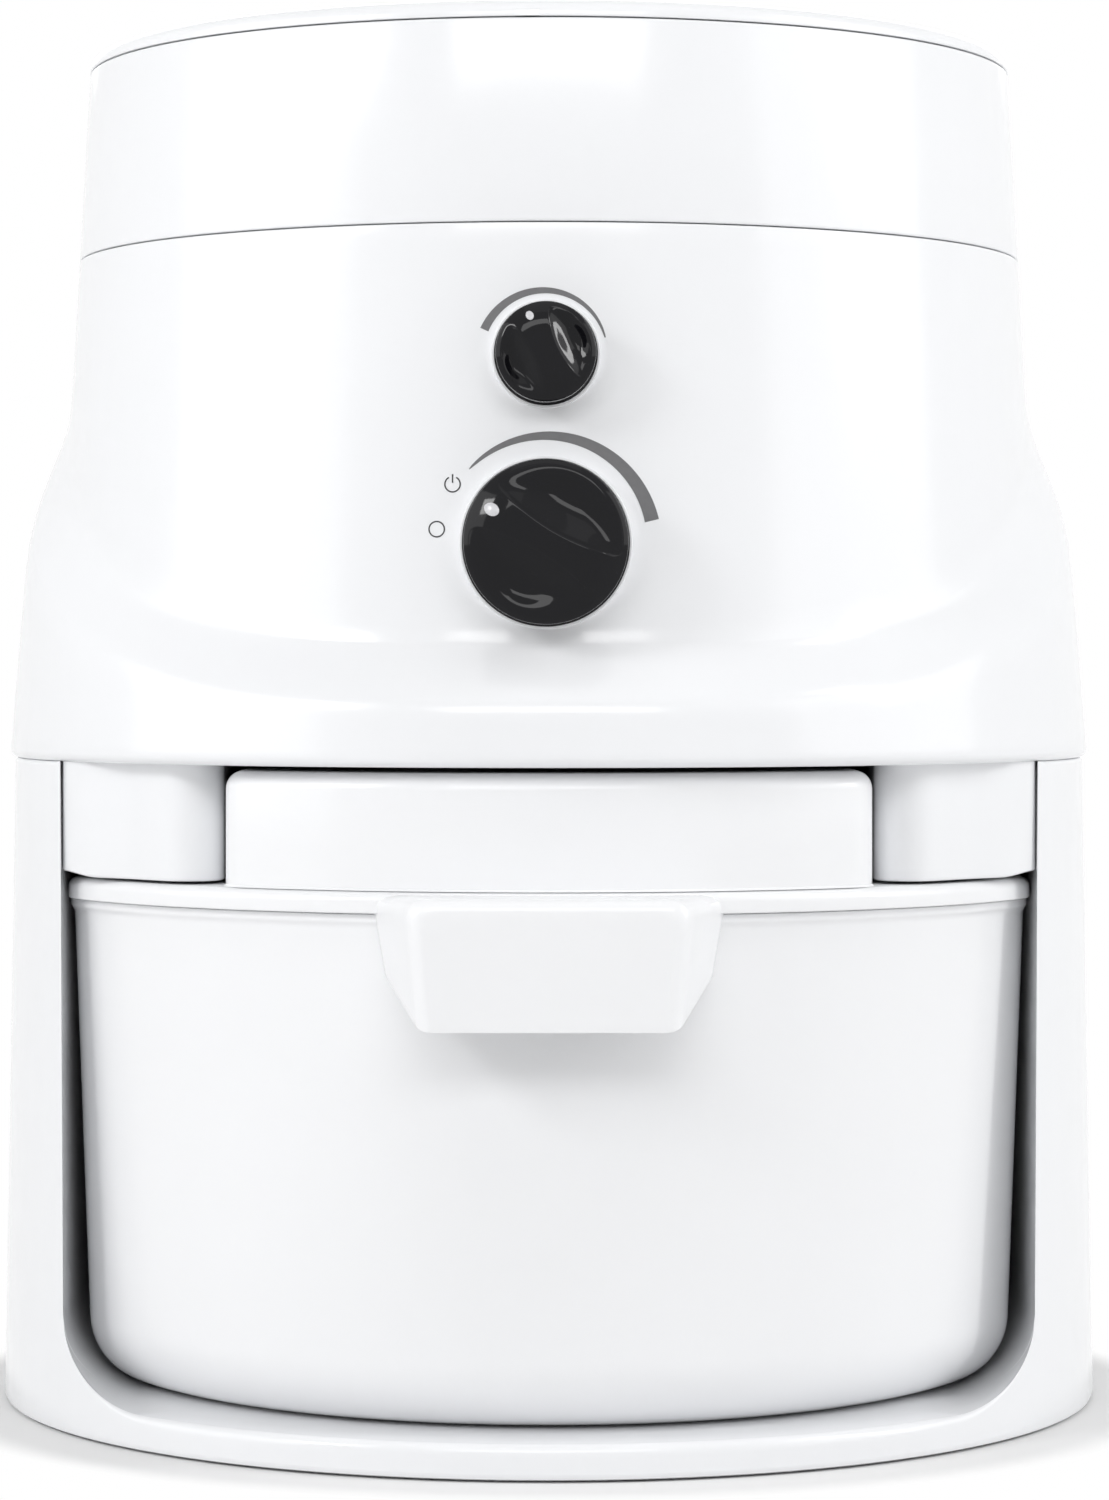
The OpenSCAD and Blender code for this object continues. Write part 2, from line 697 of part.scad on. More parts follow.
module hopper_funnel() color("gainsboro") at_body() {
    rim_top = ring_z + funnel_rim;
    rim_a = neck_a(rim_top) - shell_t - seam;
    cone_a = hopper_a - shell_t - 4;
    difference() {
        union() {
            difference() {
                funnel_body(cone_a, rim_top - 3, duct_w / 2 + duct_t, duct_d / 2 + duct_t, 0);
                funnel_body(cone_a - funnel_t, rim_top - 3 + eps, duct_w / 2, duct_d / 2, funnel_t);
                translate([-duct_w / 2, -feed_y - duct_d / 2, frame_z1 - 1])
                    cube([duct_w, duct_d, 2 * funnel_t + 2]);
            }
            intersection() {
                funnel_body(cone_a, rim_top - 3, duct_w / 2 + duct_t, duct_d / 2 + duct_t, 0);
                translate([0, motor_y, 0]) dome(funnel_t);
            }
            difference() {
                translate([0, 0, rim_top - 3]) oval_cone(rim_a, rim_a, 3);
                translate([0, 0, rim_top - 4])
                    oval_cone(cone_a - funnel_t, cone_a - funnel_t + 1, 5);
            }
        }
        translate([0, motor_y, 0]) dome(0);
    }
}

// Oval rim drawn down to the mouth of the feed duct
module funnel_body(a, top, half_x, half_y, lift)
    hull() {
        translate([0, 0, top - 2 * eps])
            scale([1, oval, 1]) cylinder(r = a, h = 2 * eps, $fn = 48);
        translate([-half_x, -feed_y - half_y, frame_z1 + lift]) cube([2 * half_x, 2 * half_y, 1]);
    }

module dome(grow) {
    z0 = can_z - 20;
    rotate_extrude()
        polygon([[0, z0], [dome_r + grow, z0], [dome_r + grow, cap_z + cap_t + 3 + grow],
                 [boss_r + 4 + grow, dome_z + grow], [0, dome_z + grow]]);
}

function crown_z(r) =
    lid_z + lid_rim_h + lid_crown * (1 - pow(r / (hopper_a - lid_edge_r), 2));

module lid() color("white") at_body() {
    plug = hopper_a - shell_t - 2 * seam;
    edge = hopper_a - lid_edge_r;
    inside = plug - lid_t;
    difference() {
        loft(concat(
            [oval_ring(plug, lid_z - lid_skirt_h), oval_ring(plug, lid_z), oval_ring(hopper_a, lid_z)],
            [for (t = [0:22.5:90])
                oval_ring(edge + lid_edge_r * cos(t),
                          lid_z + lid_rim_h - lid_edge_r * (1 - sin(t)))],
            [for (q = [0.87, 0.7, 0.5, 0.3, 0.1]) oval_ring(edge * q, crown_z(edge * q))]));
        loft(concat(
            [oval_ring(inside, lid_z - lid_skirt_h - 1)],
            [for (q = [1, 0.85, 0.65, 0.4]) oval_ring(inside * q, crown_z(inside * q) - lid_t)]));
    }
}

// Dial with two scoops beside a waisted bar, its pointer turned left of upright
module knob(r, deep, bar_end, rest) {
    scoop_r = r - scoop_rim;
    waist = bar_w / 2;
    tip = bar_end / 2;
    flare = (pow(scoop_r, 2) + pow(waist, 2) - 2 * tip * waist) / (2 * (tip - waist));
    rotate([90, 0, 0]) rotate(rest) difference() {
        union() {
            cylinder(r = r, h = deep - dial_chamfer);
            translate([0, 0, deep - dial_chamfer - eps])
                cylinder(r1 = r, r2 = r - dial_chamfer, h = dial_chamfer + eps);
            translate([0, r * 0.74, deep - eps]) cylinder(r = tip * 0.28, h = 0.3);
        }
        for (s = [-1, 1])
            intersection() {
                translate([0, 0, knob_floor(deep)]) cylinder(r = scoop_r, h = deep);
                translate([s * (waist + flare), 0, 0]) cylinder(r = flare, h = 2 * deep, $fn = 128);
            }
        translate([0, 0, -1]) cylinder(r = nut_r + 1, h = 1.5 + bush_out - dial_gap);
        translate([0, 0, -1]) cylinder(r = dial_shaft_r + fit_gap / 2, h = knob_bore(deep) + 1);
    }
}
function knob_floor(deep) = deep * 0.6;
function knob_bore(deep) = knob_floor(deep) - 0.8;

module feed_knob() color("black") at_body()
    translate([dial_x, feed_seat - dial_gap, feed_z])
        knob(feed_r, feed_deep, feed_bar_end, feed_rest);

module speed_knob() color("black") at_body()
    translate([dial_x, speed_seat - dial_gap, speed_z])
        knob(speed_r, speed_deep, speed_bar_end, speed_rest);

module dial_shaft(front, back, z)
    translate([dial_x, front, z]) rotate([-90, 0, 0]) cylinder(r = dial_shaft_r, h = back - front);

module feed_shaft() color("silver") at_body()
    dial_shaft(feed_seat - dial_gap - knob_bore(feed_deep) + 0.1, -feed_y - frame_half - 0.3, feed_z);

module speed_shaft() color("silver") at_body()
    dial_shaft(speed_seat - dial_gap - knob_bore(speed_deep) + 0.1,
               speed_seat + dial_seat_t + pot_d - 1, speed_z);

module bush(seat, z)
    translate([dial_x, seat, z]) rotate([-90, 0, 0]) {
        difference() {
            translate([0, 0, -bush_out]) cylinder(r = bush_r, h = bush_out + dial_seat_t);
            translate([0, 0, -bush_out - 1])
                cylinder(r = dial_shaft_r + shaft_gap, h = bush_out + dial_seat_t + 2);
        }
        difference() {
            translate([0, 0, -nut_t]) cylinder(r = nut_r, h = nut_t, $fn = 6);
            translate([0, 0, -nut_t - 1]) cylinder(r = bush_r + fit_gap, h = nut_t + 2);
        }
    }

module panel_bushes() color("goldenrod") at_body() {
    bush(feed_seat, feed_z);
    bush(speed_seat, speed_z);
}

module feed_switch() color("dimgray") at_body()
    difference() {
        translate([dial_x - switch_w / 2, feed_seat + dial_seat_t, feed_z - switch_w / 2])
            cube([switch_w, switch_d, switch_w]);
        translate([dial_x, feed_seat, feed_z]) rotate([-90, 0, 0])
            cylinder(r = dial_shaft_r + shaft_gap, h = 3 * switch_d);
    }

module speed_pot() color("steelblue") at_body()
    difference() {
        union() {
            translate([dial_x, speed_seat + dial_seat_t, speed_z]) rotate([-90, 0, 0])
                cylinder(r = pot_r, h = pot_d);
            translate([dial_x - 8, speed_seat + dial_seat_t + 3, speed_z - pot_r - 6])
                cube([16, 1.6, 10]);
        }
        translate([dial_x, speed_seat, speed_z]) rotate([-90, 0, 0])
            cylinder(r = dial_shaft_r + shaft_gap, h = dial_seat_t + pot_d - 0.5);
    }

// Involute pinion and its rack
function inv(a) = tan(a) - a * PI / 180;
base_r = pitch_r * cos(pressure);
function flank(r) =
    90 / pinion_teeth - backlash / pitch_r * 90 / PI + (inv(pressure) - inv(acos(base_r / r))) * 180 / PI;
tooth_r = [for (i = [0:3]) base_r + (pitch_r + gear_module - base_r) * i / 3];
function polar(r, a) = [r * sin(a), r * cos(a)];

module feed_pinion() color("khaki") at_body()
    translate([dial_x, pinion_y + pinion_w, feed_z]) rotate([90, 0, 0])
        difference() {
            linear_extrude(pinion_w) polygon([
                for (k = [0:pinion_teeth - 1]) let (mid = k * 360 / pinion_teeth)
                    each concat([polar(pitch_r - gear_root, mid - flank(base_r))],
                                [for (r = tooth_r) polar(r, mid - flank(r))],
                                [for (i = [3:-1:0]) polar(tooth_r[i], mid + flank(tooth_r[i]))],
                                [polar(pitch_r - gear_root, mid + flank(base_r))])]);
            translate([0, 0, -1]) cylinder(r = dial_shaft_r + fit_gap / 2, h = pinion_w + 2);
        }

module feed_gate() color("khaki") at_body() {
    left = -open_shift - duct_w / 2 - 6;
    right = duct_w / 2 + 9;
    first = -floor(open_shift / tooth_pitch) - 2;
    difference() {
        translate([left, pinion_y, gate_z])
            cube([right - left, -feed_y + gate_half - pinion_y, gate_t]);
        translate([-open_shift - duct_w / 2, -feed_y - duct_d / 2, gate_z - 1])
            cube([duct_w, duct_d, gate_t + 2]);
    }
    translate([dial_x, pinion_y + pinion_w, feed_z + pitch_r]) rotate([90, 0, 0])
        linear_extrude(pinion_w)
            for (k = [first:1])
                translate([(k + 0.5) * tooth_pitch, 0])
                    polygon([[-rack_half(-gear_module), -gear_module],
                             [rack_half(-gear_module), -gear_module],
                             [rack_half(gear_root), gear_root + eps],
                             [-rack_half(gear_root), gear_root + eps]]);
}
function rack_half(y) = tooth_pitch / 4 - backlash / 2 + y * tan(pressure);

module gate_frame() color("gainsboro") at_body() {
    difference() {
        union() {
            translate([-frame_x, -feed_y - frame_half, frame_z0])
                cube([2 * frame_x, 2 * frame_half, frame_z1 - frame_z0]);
            translate([dial_x - 8, -feed_y - frame_half - 3, feed_z - 7])
                cube([16, 3 + eps, gate_z - guide_gap - feed_z + 7]);
        }
        translate([-duct_w / 2, -feed_y - duct_d / 2, frame_z0 - 1])
            cube([duct_w, duct_d, frame_z1 - frame_z0 + 2]);
        translate([-frame_x - 1, -feed_y - 2 * frame_half, gate_z - guide_gap])
            cube([2 * frame_x + 2, 2 * frame_half + gate_half + guide_gap, gate_t + 2 * guide_gap]);
        translate([dial_x, -feed_y - 2 * frame_half, feed_z]) rotate([-90, 0, 0])
            cylinder(r = dial_shaft_r + shaft_gap, h = frame_half + 1);
    }
}

// Hollow bend from the gate down to the grain inlet
module chute_body(wall) {
    top_z = frame_z0 - 2;
    knee_z = cover_top + 14;
    inlet = motor_y - inlet_y;
    hull() {
        translate([-duct_w / 2 - wall, -feed_y - duct_d / 2 - wall, top_z])
            cube([duct_w + 2 * wall, duct_d + 2 * wall, 1]);
        knee(wall, knee_z);
    }
    hull() {
        knee(wall, knee_z);
        translate([0, inlet, cover_top]) cylinder(r = inlet_r + wall, h = 1, $fn = 32);
    }
}
module knee(wall, z)
    translate([-9 - wall, -42 - wall, z - wall / 2]) cube([18 + 2 * wall, 24 + 2 * wall, 1 + wall]);

module feed_chute() color("gainsboro") at_body()
    difference() {
        union() {
            chute_body(duct_t);
            translate([-duct_w / 2 - 6, -feed_y - duct_d / 2 - duct_t, frame_z0 - 2])
                cube([duct_w + 12, duct_d + duct_t + 4, 2]);
        }
        chute_body(0);
        translate([-duct_w / 2, -feed_y - duct_d / 2, frame_z0 - 2]) cube([duct_w, duct_d, 3]);
        translate([0, motor_y - inlet_y, cover_top - 1]) cylinder(r = inlet_r, h = 2);
    }

module mill_chamber() color("lightgray") at_motor()
    difference() {
        union() {
            translate([0, 0, plate_z]) cylinder(r = chamber_r + chamber_t, h = chamber_t + chamber_h);
            for (a = [45:90:315])
                rotate(a) translate([ear_at, 0, plate_z]) cylinder(r = ear_r, h = chamber_t + chamber_h);
        }
        translate([0, 0, plate_z + chamber_t]) cylinder(r = chamber_r, h = chamber_h + 1);
        translate([0, outlet_y - motor_y, plate_z - 1]) cylinder(r = outlet_r + 2 + fit_gap, h = 4);
        for (a = [45:90:315])
            rotate(a) translate([ear_at, 0, plate_z - 1])
                cylinder(r = screw_r + 2 * fit_gap, h = chamber_h + 9);
    }

seal_t = 1.5;
module chamber_seal() color("darkred") at_motor()
    translate([0, 0, chamber_top - seal_t])
        difference() {
            cylinder(r = chamber_r - fit_gap, h = seal_t);
            translate([0, 0, -1]) cylinder(r = chamber_r - 1.8, h = seal_t + 2);
        }

module chamber_cover() color("lightgray") at_motor()
    difference() {
        union() {
            translate([0, 0, chamber_top]) cylinder(r = chamber_r + chamber_t, h = cover_t);
            for (a = [45:90:315])
                rotate(a) translate([ear_at, 0, chamber_top]) cylinder(r = ear_r, h = cover_t);
            translate([0, 0, cover_top - eps]) cylinder(r = boss_r, h = bearing_w + 1);
        }
        translate([0, 0, bearing_low]) cylinder(r = bearing_r + fit_gap, h = bearing_w + 2);
        translate([0, 0, chamber_top - 1]) cylinder(r = shaft_r + 1, h = 10);
        translate([0, -inlet_y, chamber_top - 1]) cylinder(r = inlet_r, h = cover_t + 2);
        for (a = [45:90:315]) rotate(a) {
            translate([ear_at, 0, chamber_top - 1]) cylinder(r = screw_r + 2 * fit_gap, h = 5);
            translate([bolt_at, 0, chamber_top + 0.8]) cylinder(r = bolt_r + fit_gap, h = cover_t);
        }
    }

module chamber_screws() color("silver") at_motor()
    for (a = [45:90:315])
        rotate(a) translate([ear_at, 0, cover_top])
            pan_screw(screw_r, cover_top - mill_z - 1.5, screw_head_r, 2.2);

// Ring of upright fins on z = 0, reaching up
module fins(radius, count, turn)
    for (i = [0:count - 1])
        rotate(turn + i * 360 / count) translate([radius - fin_t / 2, -fin_t / 2, -0.5])
            cube([fin_t, fin_t, fin_l + 0.5]);

module stator_head() color("silver") at_motor()
    difference() {
        union() {
            translate([0, 0, chamber_top - head_t]) cylinder(r = chamber_r - 2.2, h = head_t);
            for (f = fin_rings_fixed)
                translate([0, 0, chamber_top - head_t]) mirror([0, 0, 1])
                    fins(first_fin + f[0], f[1], 7);
        }
        translate([0, 0, chamber_top - head_t - 1]) cylinder(r = shaft_r + 1, h = head_t + 2);
        translate([0, -inlet_y, chamber_top - head_t - 1]) cylinder(r = inlet_r, h = head_t + 2);
    }

module rotor_head() color("silver") at_motor()
    difference() {
        union() {
            translate([0, 0, rotor_z]) cylinder(r = rotor_r, h = head_t);
            translate([0, 0, rotor_z + head_t - eps]) cylinder(r1 = 12, r2 = 9, h = 7);
            for (f = fin_rings_turning)
                translate([0, 0, rotor_z + head_t]) fins(first_fin + f[0], f[1], 0);
        }
        translate([0, 0, rotor_z + head_t]) cylinder(r = shaft_r + fit_gap / 2, h = 12);
        translate([0, 0, rotor_z - 1]) cylinder(r = 2.5 + fit_gap, h = 6);
        translate([0, 0, rotor_z - 1]) cylinder(r = 6.2, h = 2.7);
    }

module rotor_screw() color("dimgray") at_motor() {
    difference() {
        translate([0, 0, rotor_z - 0.4]) cylinder(r = 6, h = 2);
        translate([0, 0, rotor_z - 1]) cylinder(r = 2.6, h = 1.6, $fn = 6);
    }
    translate([0, 0, rotor_z + 1.6 - eps]) cylinder(r = rotor_screw_r, h = rotor_screw_l);
}

module flour_outlet() color("gainsboro") at_body()
    translate([0, outlet_y, mill_z])
        difference() {
            union() {
                cylinder(r = outlet_r + 4 - fit_gap, h = plate_t);
                cylinder(r = outlet_r + 2, h = plate_t + chamber_t);
            }
            translate([0, 0, -1]) cylinder(r = outlet_r, h = plate_t + chamber_t + 2);
        }

module motor_frame() color("silver") at_motor()
    difference() {
        union() {
            translate([0, 0, can_z]) cylinder(r = motor_r, h = motor_l);
            for (a = [45:90:315])
                rotate(a) translate([bolt_at, 0, cover_top])
                    cylinder(r = bolt_post_r, h = leg_h + motor_l);
        }
        translate([0, 0, can_z - 1]) cylinder(r = motor_r - motor_wall, h = motor_l + 2);
        for (a = [45:90:315])
            rotate(a) translate([bolt_at, 0, cover_top - 1])
                cylinder(r = bolt_r + fit_gap, h = leg_h + motor_l + 2);
        for (a = [0:90:270])
            rotate(a) translate([motor_r - 6, -12, can_z + 1.5]) cube([12, 24, 7]);
    }

module motor_cap() color("silver") at_motor()
    difference() {
        union() {
            translate([0, 0, cap_z]) cylinder(r = motor_r, h = cap_t);
            for (a = [45:90:315])
                rotate(a) translate([bolt_at, 0, cap_z]) cylinder(r = bolt_post_r, h = cap_t);
            translate([0, 0, bearing_high - eps]) cylinder(r = boss_r, h = bearing_w + 1.6);
        }
        translate([0, 0, cap_z - 1]) cylinder(r = bearing_r + fit_gap, h = cap_t + bearing_w + 1);
        for (a = [45:90:315])
            rotate(a) translate([bolt_at, 0, cap_z - 1]) cylinder(r = bolt_r + fit_gap, h = cap_t + 2);
        for (a = [22.5:45:337.5])
            rotate(a) translate([20, -4, cap_z - 1]) cube([18, 8, cap_t + 2]);
    }

module motor_bolts() color("dimgray") at_motor()
    for (a = [45:90:315])
        rotate(a) translate([bolt_at, 0, cap_z + cap_t])
            pan_screw(bolt_r, cap_z + cap_t - chamber_top - 1, 3.4, 2);

// Part of a ring between two radii, centred on +X and spanning an angle
module sector(r0, r1, h, span)
    rotate(-span / 2) rotate_extrude(angle = span) translate([r0, 0]) square([r1 - r0, h]);

pole_span = 88;
pole_tip = 18;
coil_end = 4.5;
module field_stack() color("slategray") at_motor() {
    out = motor_r - motor_wall - fit_gap;
    h = armature_l + 2;
    translate([0, 0, armature_z - 1]) difference() {
        cylinder(r = out, h = h);
        translate([0, 0, -1]) cylinder(r = armature_r + 0.6, h = h + 2);
        for (a = [90, 270]) rotate(a) translate([0, 0, -1]) {
            sector(armature_r + 2.6, out - 7.4, h + 2, 180 - pole_span);
            sector(armature_r - 1, armature_r + 4, h + 2, 180 - pole_span - 2 * pole_tip);
        }
    }
}

module field_coils() color("chocolate") at_motor() {
    r0 = armature_r + 3;
    r1 = motor_r - motor_wall - 8.6;
    h = armature_l + 2;
    for (a = [0, 180]) rotate(a) translate([0, 0, armature_z - 1]) {
        difference() {
            translate([0, 0, -coil_end]) sector(r0, r1, h + 2 * coil_end, 140);
            translate([0, 0, -0.3]) sector(r0 - 1, r1 + 1, h + 0.6, pole_span + 4);
        }
    }
}

module armature_stack() color("slategray") at_motor()
    difference() {
        translate([0, 0, armature_z]) cylinder(r = armature_r, h = armature_l);
        translate([0, 0, armature_z - 1]) cylinder(r = shaft_r + fit_gap / 2, h = armature_l + 2);
        for (a = [0:30:330])
            rotate(a) translate([armature_r - 2.5, -0.8, armature_z - 1])
                cube([4, 1.6, armature_l + 2]);
    }

module armature_windings() color("chocolate") at_motor()
    for (z = [armature_z - 6, armature_z + armature_l])
        rotate_extrude() translate([shaft_r + 2.5, z])
            polygon([[0, 0.8], [1.5, 0], [12, 0], [14.5, 1.5], [14.5, 4.5], [13, 6], [0, 6]]);

module commutator() color("peru") at_motor()
    difference() {
        translate([0, 0, commutator_z]) cylinder(r = commutator_r, h = commutator_l);
        translate([0, 0, commutator_z - 1]) cylinder(r = shaft_r + fit_gap / 2, h = commutator_l + 2);
        for (a = [0:20:340])
            rotate(a) translate([commutator_r - 0.6, -0.2, commutator_z - 1])
                cube([2, 0.4, commutator_l + 2]);
    }

module rotor_shaft() color("silver") at_motor()
    difference() {
        translate([0, 0, rotor_z + head_t + fit_gap])
            cylinder(r = shaft_r, h = bearing_high + bearing_w - rotor_z - head_t - fit_gap);
        translate([0, 0, rotor_z]) cylinder(r = rotor_screw_r + fit_gap, h = rotor_screw_l + 3);
    }

module cooling_fan() color("darkgray") at_motor()
    difference() {
        union() {
            translate([0, 0, can_z + 0.8]) cylinder(r = motor_r - motor_wall - 2.5, h = 1.5);
            translate([0, 0, can_z + 0.8]) cylinder(r = 9, h = 5);
            for (i = [0:fan_blades - 1])
                rotate(i * 360 / fan_blades) translate([12, -0.7, can_z + 2])
                    cube([motor_r - motor_wall - 15, 1.4, 3.6]);
        }
        translate([0, 0, can_z]) cylinder(r = shaft_r + fit_gap / 2, h = 7);
    }

race_mid = (bearing_r + shaft_r) / 2;
race_gap = 0.03;
ball_r = (bearing_r - shaft_r) * 0.28;
module groove() rotate_extrude() translate([race_mid, bearing_w / 2]) circle(r = ball_r + race_gap);

module bearing_outer_rings() color("lightgray") at_motor()
    for (z = [bearing_low, bearing_high]) translate([0, 0, z])
        difference() {
            cylinder(r = bearing_r, h = bearing_w);
            translate([0, 0, -1]) cylinder(r = race_mid + ball_r * 0.6, h = bearing_w + 2);
            groove();
        }

module bearing_inner_rings() color("lightgray") at_motor()
    for (z = [bearing_low, bearing_high]) translate([0, 0, z])
        difference() {
            cylinder(r = race_mid - ball_r * 0.6, h = bearing_w);
            translate([0, 0, -1]) cylinder(r = shaft_r + fit_gap / 2, h = bearing_w + 2);
            groove();
        }

module bearing_balls() color("white") at_motor()
    for (z = [bearing_low, bearing_high]) for (a = [0:51.4286:359])
        rotate(a) translate([race_mid, 0, z + bearing_w / 2]) sphere(r = ball_r);

holder_y0 = commutator_r + 3;
holder_y1 = motor_r - motor_wall - 0.2;
holder_w = brush_w + 4;
holder_h = brush_w + 1.8;
module brush_holders() color("saddlebrown") at_motor()
    for (a = [0, 180]) rotate(a)
        difference() {
            translate([-holder_w / 2, holder_y0, brush_z - holder_h / 2])
                cube([holder_w, holder_y1 - holder_y0, holder_h]);
            translate([-brush_w / 2 - 0.1, holder_y0 - 1, brush_z - brush_w / 2 - 0.1])
                cube([brush_w + 0.2, holder_y1 - holder_y0 - 0.6, brush_w + 0.2]);
        }

module brushes() color("black") at_motor()
    for (a = [0, 180]) rotate(a)
        translate([-brush_w / 2, commutator_r + 0.15, brush_z - brush_w / 2])
            cube([brush_w, brush_l, brush_w]);

// Round wire carried along a helix
module brush_springs() color("silver") at_motor() {
    wire = 0.35;
    coil = brush_w / 2 - 0.7;
    turns = 5;
    steps = 12;
    y0 = commutator_r + brush_l + 0.2 + wire;
    y1 = holder_y1 - 1.7 - wire;
    for (a = [0, 180]) rotate(a) translate([0, 0, brush_z]) rotate([-90, 0, 0])
        loft([for (i = [0:turns * steps])
            let (t = i * 360 / steps, z = y0 + (y1 - y0) * i / (turns * steps))
            [for (k = [0:5]) let (q = coil + wire * cos(k * 60))
                [q * cos(t), q * sin(t), z - wire * sin(k * 60)]]]);
}

module control_board() color("seagreen") at_body() {
    difference() {
        translate([board_x0, board_y0, board_z]) cube([board_w, board_d, board_t]);
        for (p = board_post_at)
            translate([p[0], p[1], board_z - 1]) cylinder(r = board_pin_r + 0.15, h = board_t + 2);
    }
    translate([board_x0 + 8, board_y0 + 36, board_z + board_t]) cube(relay);
    translate([board_x0 + board_w - can_r - 9, board_y0 + 34, board_z + board_t])
        cylinder(r = can_r, h = can_h);
}

module heat_sink() color("gray") at_body()
    translate([board_x0 + 14, board_y0 + 8, board_z + board_t]) {
        cube([sink_w, sink_t, sink_h]);
        for (i = [0:sink_fins - 1])
            translate([i * (sink_w - sink_fin_t) / (sink_fins - 1), 0, 0])
                cube([sink_fin_t, sink_fin_l, sink_h]);
    }

module line_filter() color("gold") at_body() {
    translate([block_at[0] - block_w, block_at[1], plate_z]) cube([block_w, block_d, block_h]);
    translate([choke_at[0], choke_at[1], plate_z]) difference() {
        cylinder(r = choke_r, h = choke_h);
        translate([0, 0, -1]) cylinder(r = choke_bore, h = choke_h + 2);
    }
}

module cord_gland() color("dimgray") at_body() {
    y = oval * house_a(180, mill_z + gland_up);
    rim_r = cord_r + 4.5;
    lean = oval * skirt_taper / 100 * rim_r;
    translate([0, y, mill_z + gland_up]) rotate([-90, 0, 0])
        difference() {
            union() {
                translate([0, 0, -shell_t - 4]) cylinder(r = cord_r + 2.3, h = shell_t + 5);
                translate([0, 0, lean + 0.05]) cylinder(r = rim_r, h = 1.1);
                translate([0, 0, -shell_t - 5]) cylinder(r = rim_r, h = 3.5 - lean);
            }
            translate([0, 0, -shell_t - 6]) cylinder(r = cord_r, h = shell_t + 12);
        }
}

function bowl_inset(z, wall) = bowl_draft * (1 - z / bowl_h) + wall;
function bowl_edge(z0, r, wall) =
    [for (t = [0:18:90]) let (z = z0 + r * (1 - cos(t)))
        [z, r * (1 - sin(t)) + bowl_inset(z, wall)]];

module bowl_outside()
    loft([for (e = concat(bowl_edge(0, bowl_edge_r, 0),
                          [[bowl_h - bead_h - 0.5, bowl_inset(bowl_h - bead_h, 0)],
                           [bowl_h - bead_h, -0.7 * bead_out], [bowl_h - 0.6 * bead_h, -bead_out],
                           [bowl_h, -bead_out]]))
        plan_ring(e[1], bowl_z + e[0])]);

module flour_bowl() color("ghostwhite") at_body()
    difference() {
        bowl_outside();
        loft([for (e = concat(bowl_edge(bowl_wall, bowl_edge_r - bowl_wall, bowl_wall),
                              [[bowl_h + 1, bowl_wall]]))
            plan_ring(e[1], bowl_z + e[0])]);
    }

// Rounded block that widens and rises towards the bowl
module handle_body(inset, r, low, rise) {
    reach = handle_out + 12;
    top = flange_z - handle_drop - inset - r;
    back = reach / handle_out;
    hull() for (s = [-1, 1]) {
        for (w = [[handle_w_top / 2, top], [handle_w_low / 2, low + r]])
            translate([s * (w[0] - inset - r), -handle_y + inset + r, w[1]]) sphere(r = r, $fn = 24);
        for (w = [[handle_w_top / 2, top], [handle_w_low / 2, low + r + rise * back]])
            translate([s * (w[0] + handle_flare * back - inset - r), -handle_y + reach, w[1]])
                sphere(r = r, $fn = 24);
    }
}

module bowl_handle() color("ghostwhite") at_body() {
    low = flange_z - handle_drop - handle_h;
    difference() {
        handle_body(0, handle_edge_r, low, handle_rise);
        handle_body(handle_wall, handle_edge_r / 2, low - 2 * handle_rise, 0);
        bowl_outside();
        translate([0, 0, rim_z - bead_h - 1.2]) linear_extrude(handle_h) polygon(flange_plan(seam));
    }
}

// Tower block with its upper edges rounded from front to back
module tower(inset, low, high) {
    w = tower_w / 2 - inset;
    r = tower_r - inset / 2;
    intersection() {
        translate([0, 0, low]) linear_extrude(high - low)
            polygon(flange_plan(-2 - inset));
        union() {
            translate([-w, -base_d, low]) cube([2 * w, 2 * base_d, high - low - r]);
            translate([r - w, -base_d, low]) cube([2 * (w - r), 2 * base_d, high - low]);
            for (s = [-1, 1])
                translate([s * (w - r), -base_d, high - r]) rotate([-90, 0, 0])
                    cylinder(r = r, h = 2 * base_d);
        }
    }
}

filter_y = bowl_back - filter_r - 12;
ceiling = tower_z - tower_wall;
module bowl_lid() color("ghostwhite") at_body()
    difference() {
        union() {
            loft([flange_ring(0, rim_z), flange_ring(0, flange_z - flange_round),
                  flange_ring(-0.13 * flange_round, flange_z - flange_round / 2),
                  flange_ring(-0.5 * flange_round, flange_z - 0.13 * flange_round),
                  flange_ring(-flange_round, flange_z)]);
            tower(0, rim_z, tower_z);
            translate([0, 0, rim_z - 4]) linear_extrude(4 + eps) polygon(plan(bowl_wall + 2.2));
        }
        difference() {
            union() {
                tower(tower_wall, rim_z - 5, ceiling);
                translate([0, 0, rim_z - 5]) linear_extrude(5) polygon(plan(bowl_wall + 4.2));
            }
            translate([0, filter_y, ceiling - filter_t]) difference() {
                cylinder(r = filter_r + 2.5, h = filter_t + 1);
                translate([0, 0, -1]) cylinder(r = filter_r + 0.3, h = filter_t + 3);
            }
            translate([0, outlet_y, ceiling - 10]) difference() {
                cylinder(r = outlet_r + 4, h = 11);
                translate([0, 0, -1]) cylinder(r = outlet_r + 1, h = 13);
            }
        }
        translate([0, outlet_y, tower_z - 5]) cylinder(r = outlet_r + 1, h = 6);
        for (i = [-2:2])
            translate([-filter_r * 0.7, filter_y + i * 8 - 1.5, tower_z - 5])
                cube([filter_r * 1.4, 3, 6]);
    }

module lid_gasket() color("darkgray") at_body()
    translate([0, 0, rim_z - 3.5]) linear_extrude(3)
        difference() {
            polygon(plan(bowl_wall + 0.25));
            polygon(plan(bowl_wall + 2.1));
        }

